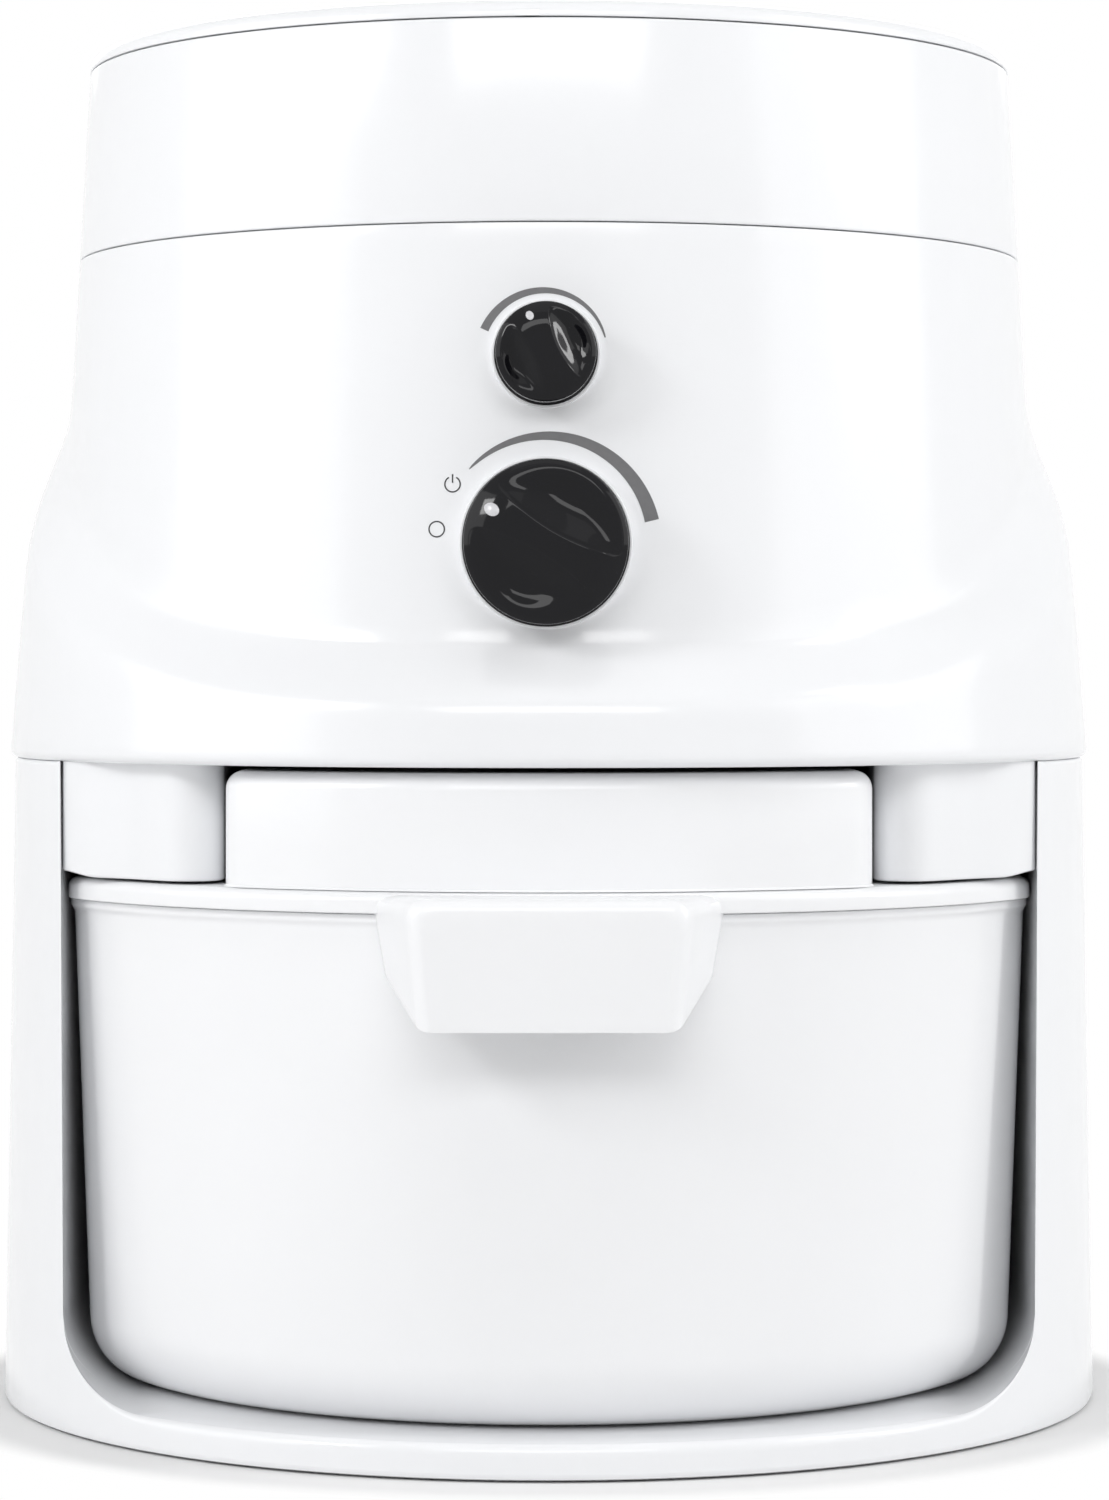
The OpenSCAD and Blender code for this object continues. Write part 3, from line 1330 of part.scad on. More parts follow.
module inlet_gasket() color("darkgray") at_body()
    translate([0, outlet_y, tower_z])
        difference() {
            cylinder(r = outlet_r + 6, h = mill_gap - 0.3);
            translate([0, 0, -1]) cylinder(r = outlet_r + 1.5, h = 4);
        }

module separator_cup() color("lightsteelblue") at_body()
    translate([0, outlet_y, ceiling - 16 - cup_h])
        difference() {
            rotate_extrude()
                polygon([[0, 0], [cup_r - 4, 0], [cup_r, 4], [cup_r, cup_h], [outlet_r + 6, cup_h + 4],
                         [outlet_r + 6, cup_h + 16], [0, cup_h + 16]]);
            rotate_extrude()
                polygon([[0, 2], [cup_r - 5, 2], [cup_r - 2, 5], [cup_r - 2, cup_h - 1.5],
                         [outlet_r + 4.2, cup_h + 2.5], [outlet_r + 4.2, cup_h + 17],
                         [0, cup_h + 17]]);
            for (a = [0:45:315])
                rotate(a) translate([cup_r - 6, -6, cup_h * 0.55]) cube([12, 12, cup_h * 0.35]);
        }

module foam_filter() color("dimgray") at_body()
    translate([0, filter_y, ceiling - filter_t + 0.2]) cylinder(r = filter_r, h = filter_t - 0.2);

module filter_cover() color("ghostwhite") at_body()
    translate([0, filter_y, ceiling - filter_t - 2.5])
        difference() {
            cylinder(r = filter_r + 2.5, h = 2.5);
            for (a = [0:60:300])
                rotate(a + 30) translate([9, -3.5, -1]) cube([filter_r - 12, 7, 5]);
        }

base_cradle();
base_plate();
rubber_feet();
base_screws();
frame_screws();
chassis();
side_rails();
main_housing();
hopper_ring();
hopper_funnel();
lid();
panel_bushes();
feed_knob();
feed_shaft();
feed_pinion();
feed_switch();
feed_gate();
gate_frame();
feed_chute();
speed_knob();
speed_shaft();
speed_pot();
control_board();
heat_sink();
line_filter();
mill_chamber();
chamber_seal();
chamber_cover();
chamber_screws();
stator_head();
rotor_head();
rotor_screw();
flour_outlet();
motor_frame();
motor_cap();
motor_bolts();
field_stack();
field_coils();
armature_stack();
armature_windings();
commutator();
rotor_shaft();
cooling_fan();
bearing_outer_rings();
bearing_inner_rings();
bearing_balls();
brush_holders();
brushes();
brush_springs();
cord_gland();
flour_bowl();
bowl_handle();
bowl_lid();
lid_gasket();
inlet_gasket();
separator_cup();
foam_filter();
filter_cover();
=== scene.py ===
"""Electric grain mill: smooth moulded skins, dials, finishes, light and camera.

Sizes are millimetres about the upright axis of the oval body, which stands AXIS_Y behind the
frame's origin. A mesh is written in metres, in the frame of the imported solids.
"""

from __future__ import annotations

import json
import logging
import math
from collections.abc import Mapping
from dataclasses import dataclass, field
from enum import Enum
from typing import Protocol

import bmesh
import bpy
import numpy as np
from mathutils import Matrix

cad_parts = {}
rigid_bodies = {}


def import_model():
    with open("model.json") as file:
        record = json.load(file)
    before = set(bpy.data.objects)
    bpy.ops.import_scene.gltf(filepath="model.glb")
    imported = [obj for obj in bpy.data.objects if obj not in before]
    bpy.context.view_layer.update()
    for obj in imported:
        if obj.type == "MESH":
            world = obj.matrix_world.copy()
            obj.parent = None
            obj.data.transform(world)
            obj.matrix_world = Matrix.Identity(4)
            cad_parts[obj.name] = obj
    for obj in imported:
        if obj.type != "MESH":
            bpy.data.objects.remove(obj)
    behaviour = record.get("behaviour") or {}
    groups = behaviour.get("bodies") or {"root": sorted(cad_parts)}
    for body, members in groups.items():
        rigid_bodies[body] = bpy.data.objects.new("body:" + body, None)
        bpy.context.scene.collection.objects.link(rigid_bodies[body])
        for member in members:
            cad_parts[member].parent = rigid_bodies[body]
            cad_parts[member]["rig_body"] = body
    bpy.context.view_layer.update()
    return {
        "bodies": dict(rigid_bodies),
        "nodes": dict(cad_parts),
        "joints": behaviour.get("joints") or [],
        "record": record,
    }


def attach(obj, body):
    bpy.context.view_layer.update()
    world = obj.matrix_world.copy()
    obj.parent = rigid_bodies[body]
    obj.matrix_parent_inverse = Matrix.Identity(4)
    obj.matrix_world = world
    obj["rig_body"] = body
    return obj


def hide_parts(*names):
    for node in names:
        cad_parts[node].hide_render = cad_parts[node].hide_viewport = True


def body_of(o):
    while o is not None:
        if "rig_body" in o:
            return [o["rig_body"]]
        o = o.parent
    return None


LOG = logging.getLogger("grain_mill")
MM = 0.001
AXIS_Y = 6.0
OVAL = 286 / 274
ROUND = 288
CREASE = 34.0
Colour = tuple[float, float, float]


class Symbol(Enum):
    """Signs printed beside the feed dial."""

    STANDBY = "standby"
    OFF = "off"


class Lay(Enum):
    """Direction of the grain that a metal's finish shows."""

    CAST = "cast"
    TURNED = "turned"
    DRAWN = "drawn"


@dataclass(frozen=True)
class Levels:
    """Heights that the sub-assemblies share, from the table up."""

    foot: float = 1.0
    deck: float = 8.5
    bowl: float = 8.7
    rim: float = 126.5
    flange: float = 131.7
    tower: float = 158.4
    mill: float = 159.7
    neck: float = 283.5
    ring: float = 283.8
    brim: float = 330.5
    lid: float = 330.8


LEVEL = Levels()

# half widths of the body, and what they lose or gain with height
BASE_A0 = 137.0
BASE_DRAFT = 2.6
SKIRT_LAP = 1.3
SKIRT_A = BASE_A0 - BASE_DRAFT + SKIRT_LAP
SKIRT_TAPER = 0.08
NECK_TAPER = 0.0565
HOPPER_A = 115.8

# wall of the mouldings and the gap between two of them
SHELL_T = 2.6
SEAM = 0.3

# room for the bowl, and the plan that the bowl shares with its lid
OPEN_X = 116.8
BACK_Y = 101.3
FRONT_RATIO = 1.07
CORNER_SHARP = 120
SIDE_BOW = 0.01

# height, depth and radius of the two dials, and their distance from the middle
DIAL_X = -0.7
SPEED_Z, SPEED_Y, SPEED_R = 253.3, -126.5, 11.8
FEED_Z, FEED_Y, FEED_R = 210.4, -129.4, 19.0


def base_a(z: np.ndarray | float) -> np.ndarray | float:
    """Half width of the base at a height: a straight draft from foot to mill."""
    return BASE_A0 - BASE_DRAFT * (z - LEVEL.foot) / (LEVEL.mill - LEVEL.foot)


def neck_a(z: np.ndarray | float) -> np.ndarray | float:
    """Half width of the tapering upper body at a height."""
    return HOPPER_A + NECK_TAPER * (LEVEL.brim - z)


def skirt_a(z: np.ndarray | float) -> np.ndarray | float:
    """Half width of the housing's lower skirt at a height."""
    return SKIRT_A - SKIRT_TAPER * (z - LEVEL.mill)


def smooth(x: np.ndarray) -> np.ndarray:
    """Runs from 0 to 1 without a corner: 3 x^2 - 2 x^3, with x held between 0 and 1."""
    x = np.clip(x, 0.0, 1.0)
    return x * x * (3.0 - 2.0 * x)


def eased(points: np.ndarray, reach: np.ndarray | float, steps: int = 5) -> np.ndarray:
    """Rounds the inner corners of an open line.

    Each corner gives way to the quadratic curve between the points that lie reach before and
    after it, with the corner as its control point.

    Args:
        points: ... x corners x coordinates.
        reach: Reach of each corner, one number or one for each corner.
        steps: Points on each rounded corner.

    Returns:
        The line with steps points in place of each inner corner.
    """
    corner, before, after = points[..., 1:-1, :], points[..., :-2, :], points[..., 2:, :]
    t = np.linspace(0.0, 1.0, steps)[:, None]
    reach = np.broadcast_to(reach, points.shape[:-1])[..., 1:-1, None]

    def towards(other: np.ndarray) -> np.ndarray:
        """Point that lies the corner's reach away, towards a neighbour."""
        span = np.linalg.norm(other - corner, axis=-1, keepdims=True)
        return corner + (other - corner) * np.minimum(reach / np.maximum(span, 1e-9), 0.48)

    a, b = towards(before)[..., None, :], towards(after)[..., None, :]
    curve = (1 - t) ** 2 * a + 2 * t * (1 - t) * corner[..., None, :] + t**2 * b
    curve = curve.reshape(*curve.shape[:-3], -1, curve.shape[-1])
    return np.concatenate([points[..., :1, :], curve, points[..., -1:, :]], axis=-2)


def even(line: np.ndarray, count: int, closed: bool = False) -> np.ndarray:
    """Spaces points evenly along a line, measured by its running length.

    Args:
        line: Points x coordinates.
        count: Points wanted.
        closed: Whether the line returns to its start, which is then not repeated.

    Returns:
        count points on the line.
    """
    if closed:
        line = np.concatenate([line, line[:1]])
    run = np.concatenate([[0.0], np.cumsum(np.linalg.norm(np.diff(line, axis=0), axis=1))])
    at = np.linspace(0.0, run[-1], count, endpoint=not closed)
    return np.stack([np.interp(at, run, line[:, k]) for k in range(line.shape[1])], axis=-1)


def turned(profile: np.ndarray) -> np.ndarray:
    """Carries a profile round the oval: x = a sin t, y = -oval a cos t.

    Args:
        profile: Half width a and height of each point, points x 2.

    Returns:
        Points x columns x 3.
    """
    angle = np.linspace(0.0, 2.0 * np.pi, ROUND, endpoint=False)
    a, z = profile[:, :1], profile[:, 1:2] + 0.0 * angle
    return np.stack([a * np.sin(angle), -OVAL * a * np.cos(angle), z], axis=-1)


def round_y(profile: np.ndarray, x: float, z: float, columns: int = 96) -> np.ndarray:
    """Turns a profile about a line that runs along y: x + r sin t, z + r cos t.

    Args:
        profile: Radius r and y of each point, points x 2.
        x: Where the line crosses x.
        z: Where the line crosses z.
        columns: Points once round.

    Returns:
        Points x columns x 3.
    """
    angle = np.linspace(0.0, 2.0 * np.pi, columns, endpoint=False)
    r, y = profile[:, :1], profile[:, 1:2] + 0.0 * angle
    return np.stack([x + r * np.sin(angle), y, z + r * np.cos(angle)], axis=-1)


def plan_line(a: float, front: float, back: float, count: int = ROUND) -> np.ndarray:
    """Plan of the bowl: an oval front between nearly straight sides, squarer behind.

    In front the distance r from the axis joins the oval's r1 and the side's r2 without a corner:
    r = r1 (1 + (r1 / r2)^n)^(-1/n). Behind, with t once round, x = a |cos t|^(1/2) and
    y = back (sin t)^(1/2).

    Args:
        a: Half width.
        front: Distance from the axis to the front.
        back: Distance from the axis to the back.
        count: Points wanted.

    Returns:
        count points x 2, evenly spaced, anticlockwise.
    """
    t = np.linspace(0.0, 2.0 * np.pi, 10 * count, endpoint=False)
    c, s = np.cos(t), np.sin(t)
    oval = front / np.hypot(FRONT_RATIO * c, s)
    side = a * (1.0 - SIDE_BOW * s * s) / np.maximum(np.abs(c), 1e-3)
    r = oval * (1.0 + (oval / side) ** CORNER_SHARP) ** (-1.0 / CORNER_SHARP)
    x = np.where(s < 0.0, r * c, a * np.sign(c) * np.sqrt(np.abs(c)))
    y = np.where(s < 0.0, r * s, back * np.sqrt(np.abs(s)))
    return even(np.stack([x, y], -1), count, closed=True)


def moved_in(line: np.ndarray, inset: np.ndarray) -> np.ndarray:
    """Moves a closed anticlockwise plan inwards along its own normals.

    Args:
        line: Points x 2.
        inset: Distance for each row.

    Returns:
        Rows x points x 2.
    """
    along = np.roll(line, -1, axis=0) - np.roll(line, 1, axis=0)
    inward = np.stack([-along[:, 1], along[:, 0]], -1) / np.linalg.norm(along, axis=1)[:, None]
    return line[None] + inward[None] * np.asarray(inset, float)[:, None, None]


def raised(plans: np.ndarray, z: np.ndarray) -> np.ndarray:
    """Gives each row of plan points its height."""
    z = np.broadcast_to(np.asarray(z, float).reshape(len(plans), -1), plans.shape[:2])
    return np.concatenate([plans, z[..., None]], axis=-1)


def slot_line(middle: tuple, half: tuple, r: float = 1.2) -> np.ndarray:
    """Outline of a rounded slot.

    Args:
        middle: Its middle.
        half: Half its length along each coordinate; a minus sign sets the way round.
        r: Reach of the corners.

    Returns:
        Points x 2, the first not repeated.
    """
    way = np.array([[0, -1], [1, -1], [1, 1], [-1, 1], [-1, -1], [0, -1]])
    return eased(np.array(middle) + np.array(half) * way, r)[:-1]


class Skin:
    """Collects grids of points and writes them as one mesh with its seams and poles closed."""

    def __init__(self) -> None:
        """Starts with no points."""
        self.points: list[np.ndarray] = []
        self.faces: list[np.ndarray] = []
        self.slots: list[np.ndarray] = []
        self.count = 0

    def grid(self, points: np.ndarray, wrap: bool = False, slot: int = 0) -> None:
        """Adds a grid as four-sided faces between neighbouring rows and columns.

        Args:
            points: Rows x columns x 3.
            wrap: Whether the last column joins the first.
            slot: Number of the material.
        """
        rows, cols = points.shape[:2]
        index = self.count + np.arange(rows * cols).reshape(rows, cols)
        right = np.roll(index, -1, axis=1) if wrap else index[:, 1:]
        left = index if wrap else index[:, :-1]
        quads = np.stack([left[:-1], right[:-1], right[1:], left[1:]], axis=-1).reshape(-1, 4)
        self.points.append(points.reshape(-1, 3))
        self.faces.append(quads)
        self.slots.append(np.full(len(quads), slot))
        self.count += rows * cols

    def closed(self, rows: np.ndarray) -> None:
        """Adds wrapped rows and closes both ends with a pole at the middle of the end row."""
        first, last = (np.broadcast_to(r.mean(axis=0), r.shape)[None] for r in (rows[0], rows[-1]))
        self.grid(np.concatenate([first, rows, last]), wrap=True)

    def build(self, name: str, body: str, crease: float = CREASE) -> bpy.types.Object:
        """Writes the mesh, merges what meets, turns the faces outwards and sets the shading.

        Args:
            name: Name of the piece.
            body: Moving body that the piece rides on.
            crease: Angle in degrees above which an edge is drawn sharp.

        Returns:
            The finished object.
        """
        merge, crumb = 0.004 * MM, 0.001 * MM
        mesh = bpy.data.meshes.new(name)
        points = (np.concatenate(self.points) + (0.0, AXIS_Y, 0.0)) * MM
        mesh.from_pydata(points.tolist(), [], np.concatenate(self.faces).tolist())
        mesh.polygons.foreach_set("material_index", np.concatenate(self.slots).astype(np.int32))
        work = bmesh.new()
        work.from_mesh(mesh)
        bmesh.ops.remove_doubles(work, verts=work.verts, dist=merge)
        bmesh.ops.dissolve_degenerate(work, edges=work.edges, dist=crumb)
        bmesh.ops.recalc_face_normals(work, faces=work.faces)
        work.to_mesh(mesh)
        work.free()
        piece = bpy.data.objects.new(name, mesh)
        bpy.context.scene.collection.objects.link(piece)
        shade(piece, crease)
        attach(piece, body)
        return piece


def shade(piece: bpy.types.Object, crease: float) -> None:
    """Shades a piece smooth, apart from edges sharper than an angle in degrees."""
    piece.data.shade_smooth()
    piece.data.set_sharp_from_angle(angle=math.radians(crease))


def cut(piece: bpy.types.Object, cutter: Skin) -> None:
    """Takes the cutter's shapes out of a piece and applies the result.

    Args:
        piece: Closed piece.
        cutter: Closed shapes to take away.
    """
    tool = cutter.build(piece.name + "_cutter", body_of(piece)[0])
    step = piece.modifiers.new("cut", "BOOLEAN")
    step.operation, step.solver, step.object = "DIFFERENCE", "EXACT", tool
    result = bpy.data.meshes.new_from_object(
        piece.evaluated_get(bpy.context.evaluated_depsgraph_get())
    )
    piece.modifiers.clear()
    piece.data = result
    bpy.data.objects.remove(tool)
    shade(piece, CREASE)


class Wire:
    """A socket's value in an expression. Arithmetic on it adds Math nodes."""

    def __init__(self, graph: "Graph", socket: bpy.types.NodeSocket) -> None:
        """Holds a node's output socket."""
        self.graph = graph
        self.socket = socket

    def _math(self, operation: str, *values: object) -> "Wire":
        """Adds one Math node on one or two values."""
        return self.graph.node("ShaderNodeMath", {"operation": operation}, dict(enumerate(values)))

    def __sub__(self, other: object) -> "Wire":
        """Difference."""
        return self._math("SUBTRACT", self, other)

    def __rsub__(self, other: object) -> "Wire":
        """Difference, from the right."""
        return self._math("SUBTRACT", other, self)

    def __mul__(self, other: object) -> "Wire":
        """Product."""
        return self._math("MULTIPLY", self, other)

    def __rmul__(self, other: object) -> "Wire":
        """Product, from the right."""
        return self._math("MULTIPLY", other, self)

    def larger(self, other: object) -> "Wire":
        """The larger of two values."""
        return self._math("MAXIMUM", self, other)

    def saw(self) -> "Wire":
        """What is left over a whole number: a saw wave from 0 to 1."""
        return self._math("FRACT", self)


class Graph:
    """A material's nodes, around one Principled shader."""

    def __init__(self, name: str, **constants: object) -> None:
        """Makes the material and sets what is the same all over the surface.

        Args:
            name: Name of the material.
            constants: Value of each socket, with _ for a space in its name.
        """
        self.material = bpy.data.materials.new(name)
        self.material.use_nodes = True
        self.tree = self.material.node_tree
        self.tree.nodes.clear()
        self.shader = self.tree.nodes.new("ShaderNodeBsdfPrincipled")
        out = self.tree.nodes.new("ShaderNodeOutputMaterial")
        self.tree.links.new(self.shader.outputs[0], out.inputs["Surface"])
        for key, value in constants.items():
            self.set(key.replace("_", " "), value)

    @classmethod
    def on(cls, tree: bpy.types.NodeTree) -> "Graph":
        """Starts a bare graph on a tree without a Principled shader, such as the world's.

        Args:
            tree: Node tree, which is emptied.

        Returns:
            The graph.
        """
        graph = cls.__new__(cls)
        graph.tree = tree
        tree.nodes.clear()
        return graph

    def seen(self) -> Wire:
        """Tells rays that show the background from those that only light the scene.

        Returns:
            One for camera rays, mirror rays and rays through clear parts, else nought.
        """
        kinds = ("Camera", "Glossy", "Transmission")
        rays = [self.node("ShaderNodeLightPath", output=f"Is {kind} Ray") for kind in kinds]
        return rays[0].larger(rays[1].larger(rays[2]))

    def put(self, socket: bpy.types.NodeSocket, value: object) -> None:
        """Links a wire to a socket, or writes a plain value on it.

        Args:
            socket: Input socket.
            value: Wire, number, name or colour.
        """
        if isinstance(value, Wire):
            self.tree.links.new(value.socket, socket)
        elif isinstance(value, tuple) and socket.type == "RGBA":
            socket.default_value = (*value[:3], 1.0)
        else:
            socket.default_value = value

    def set(self, socket: str, value: object) -> None:
        """Puts a value on the Principled shader."""
        self.put(self.shader.inputs[socket], value)

    def node(
        self,
        kind: str,
        settings: Mapping[str, object] | None = None,
        inputs: Mapping[str | int, object] | None = None,
        output: str | int = 0,
    ) -> Wire:
        """Adds a node.

        Args:
            kind: Node type.
            settings: Its settings, set first.
            inputs: Values or wires by socket name or number.
            output: Socket to hand on.

        Returns:
            The chosen output.
        """
        made = self.tree.nodes.new(kind)
        for key, value in (settings or {}).items():
            setattr(made, key, value)
        for key, value in (inputs or {}).items():
            self.put(made.inputs[key], value)
        return Wire(self, made.outputs[output])

    def place(self) -> Wire:
        """Object coordinates."""
        return self.node("ShaderNodeTexCoord", output="Object")

    def axis(self, name: str) -> Wire:
        """One object coordinate, in metres."""
        return self.node("ShaderNodeSeparateXYZ", inputs={0: self.place()}, output=name)

    def noise(
        self, scale: float, detail: float = 3.0, rough: float = 0.5, stretch: tuple | None = None
    ) -> Wire:
        """Noise on object coordinates.

        Args:
            scale: Waves in a metre.
            detail: Number of finer layers.
            rough: Strength of the finer layers.
            stretch: Factor on each axis, if the noise is stretched.

        Returns:
            Noise about 0.5.
        """
        at = self.place()
        if stretch:
            at = self.node("ShaderNodeMapping", inputs={0: at, "Scale": stretch})
        sockets = {"Vector": at, "Scale": scale, "Detail": detail, "Roughness": rough}
        return self.node("ShaderNodeTexNoise", inputs=sockets)

    def ramp(
        self, value: Wire, low: float, high: float, to_low: float = 0.0, to_high: float = 1.0
    ) -> Wire:
        """Maps the range from low to high onto another without a corner, held at both ends."""
        sockets = {0: value, 1: low, 2: high, 3: to_low, 4: to_high}
        return self.node("ShaderNodeMapRange", {"interpolation_type": "SMOOTHSTEP"}, sockets)

    def mix(self, factor: object, first: object, second: object) -> Wire:
        """Blends two colours."""
        sockets = {0: factor, 6: first, 7: second}
        return self.node("ShaderNodeMix", {"data_type": "RGBA"}, sockets, 2)

    def cover(self, share: object, first: object, second: object) -> Wire:
        """Blends two shaders."""
        return self.node("ShaderNodeMixShader", inputs={0: share, 1: first, 2: second})

    def bump(self, height: Wire, distance: float) -> None:
        """Feeds a height, in metres times distance, to the shader's normal."""
        sockets = {"Height": height, "Distance": distance}
        self.set("Normal", self.node("ShaderNodeBump", inputs=sockets))


def tint(colour: Colour, by: float) -> Colour:
    """Makes a colour lighter or darker by a factor."""
    return tuple(min(c * by, 1.0) for c in colour)


class Finish(Protocol):
    """What every finish offers: a name and the material of that name."""

    name: str

    def material(self) -> bpy.types.Material:
        """Makes the material."""


@dataclass(frozen=True)
class Moulding:
    """Moulded plastic: faint mottling, slow waves in the gloss and a fine grain."""

    name: str
    colour: Colour
    roughness: float = 0.2
    mottle: float = 0.02
    grain_scale: float = 900.0
    grain: float = 0.00001
    ior: float = 1.5

    def material(self) -> bpy.types.Material:
        """Makes the material.

        Returns:
            The material.
        """
        g = Graph(self.name, IOR=self.ior)
        dark, pale = tint(self.colour, 1 - self.mottle), tint(self.colour, 1 + self.mottle)
        g.set("Base Color", g.mix(g.noise(14.0, 4.0), dark, pale))
        low, high = self.roughness * 0.85, self.roughness * 1.2
        g.set("Roughness", g.ramp(g.noise(45.0, 5.0), 0.3, 0.7, low, high))
        g.bump(g.noise(self.grain_scale, 2.0), self.grain)
        return g.material


@dataclass(frozen=True)
class Scooped:
    """Matt black of the dials' scoops: fine texture with pale specks of dust in it."""

    name: str
    dark: Colour = (0.008, 0.008, 0.01)
    light: Colour = (0.045, 0.044, 0.05)
    dust: Colour = (0.3, 0.29, 0.3)

    def material(self) -> bpy.types.Material:
        """Makes the material.

        Returns:
            The material.
        """
        g = Graph(self.name, IOR=1.2)
        speck = g.noise(2600.0, 4.0, 0.7)
        dust = g.ramp(g.noise(1500.0, 2.0), 0.58, 0.7) * g.ramp(g.noise(120.0, 2.0), 0.45, 0.6)
        g.set("Base Color", g.mix(dust * 0.5, g.mix(speck, self.dark, self.light), self.dust))
        g.set("Roughness", g.ramp(speck, 0.3, 0.7, 0.42, 0.6))
        g.bump(speck, 0.00016)
        return g.material


@dataclass(frozen=True)
class Metal:
    """Bare metal with its grain cast, turned or drawn."""

    name: str
    colour: Colour
    roughness: float = 0.3
    lay: Lay = Lay.DRAWN
    stain: float = 0.15

    def material(self) -> bpy.types.Material:
        """Makes the material.

        Returns:
            The material.
        """
        g = Graph(self.name, Metallic=1.0)
        stretch = {Lay.CAST: (1, 1, 1), Lay.TURNED: (1, 1, 14), Lay.DRAWN: (1, 14, 14)}[self.lay]
        scale, depth = (420.0, 0.00012) if self.lay is Lay.CAST else (160.0, 0.00002)
        grain = g.noise(scale, 5.0, 0.6, stretch)
        cloud = g.noise(30.0, 4.0)
        g.set("Base Color", g.mix(cloud, tint(self.colour, 1 - self.stain), self.colour))
        g.set("Roughness", g.ramp(grain, 0.25, 0.75, self.roughness * 0.75, self.roughness * 1.3))
        g.bump(grain, depth)
        return g.material


@dataclass(frozen=True)
class Banded:
    """Thin layers one on another: stacked sheets of a motor core, or turns of wire."""

    name: str
    colour: Colour
    gap: Colour
    pitch: float
    metallic: float = 1.0
    roughness: float = 0.35

    def material(self) -> bpy.types.Material:
        """Makes the material: a saw wave along z, dark at the joint between two layers.

        Returns:
            The material.
        """
        g = Graph(self.name, Metallic=self.metallic)
        wave = (g.axis("Z") * (1.0 / (self.pitch * MM))).saw()
        joint = g.ramp(wave, 0.0, 0.25) * (1 - g.ramp(wave, 0.75, 1.0))
        worn = g.noise(90.0, 4.0)
        layer = g.mix(worn, tint(self.colour, 0.85), self.colour)
        g.set("Base Color", g.mix(joint, self.gap, layer))
        g.set("Roughness", g.ramp(worn, 0.2, 0.8, self.roughness * 0.8, self.roughness * 1.3))
        g.bump(joint, 0.25 * self.pitch * MM)
        return g.material


@dataclass(frozen=True)
class Rubber:
    """Soft matt rubber, silicone or open foam."""

    name: str
    colour: Colour
    roughness: float = 0.75
    pores: float = 900.0
    depth: float = 0.00005

    def material(self) -> bpy.types.Material:
        """Makes the material.

        Returns:
            The material.
        """
        g = Graph(self.name, Sheen_Weight=0.15, Sheen_Roughness=0.5)
        pore = g.noise(self.pores, 4.0, 0.65)
        bloom = g.noise(35.0, 4.0)
        g.set("Base Color", g.mix(bloom, tint(self.colour, 0.8), tint(self.colour, 1.25)))
        low, high = self.roughness * 0.92, min(self.roughness * 1.08, 1.0)
        g.set("Roughness", g.ramp(bloom, 0.3, 0.7, low, high))
        g.bump(pore, self.depth)
        return g.material


@dataclass(frozen=True)
class Board:
    """Circuit board: green lacquer with paler tracks under it."""

    name: str
    colour: Colour = (0.015, 0.09, 0.03)

    def material(self) -> bpy.types.Material:
        """Makes the material: tracks run along the borders between the cells of a pattern.

        Returns:
            The material.
        """
        g = Graph(self.name, IOR=1.5, Coat_Weight=0.4, Coat_Roughness=0.1)
        sockets = {"Vector": g.place(), "Scale": 260.0, "Randomness": 0.25}
        cell = g.node("ShaderNodeTexVoronoi", {"feature": "DISTANCE_TO_EDGE"}, sockets)
        track = g.ramp(cell, 0.03, 0.07)
        g.set("Base Color", g.mix(track, tint(self.colour, 2.4), self.colour))
        g.set("Roughness", g.ramp(g.noise(60.0), 0.3, 0.7, 0.25, 0.4))
        g.bump(1 - track, 0.00004)
        return g.material


@dataclass(frozen=True)
class Ink:
    """Printed ink: slightly uneven cover on the plastic."""

    name: str
    colour: Colour

    def material(self) -> bpy.types.Material:
        """Makes the material.

        Returns:
            The material.
        """
        g = Graph(self.name, IOR=1.45)
        cover = g.noise(700.0, 3.0, 0.6)
        g.set("Base Color", g.mix(cover, tint(self.colour, 0.9), tint(self.colour, 1.12)))
        g.set("Roughness", g.ramp(cover, 0.3, 0.7, 0.3, 0.42))
        g.bump(cover, 0.000008)
        return g.material


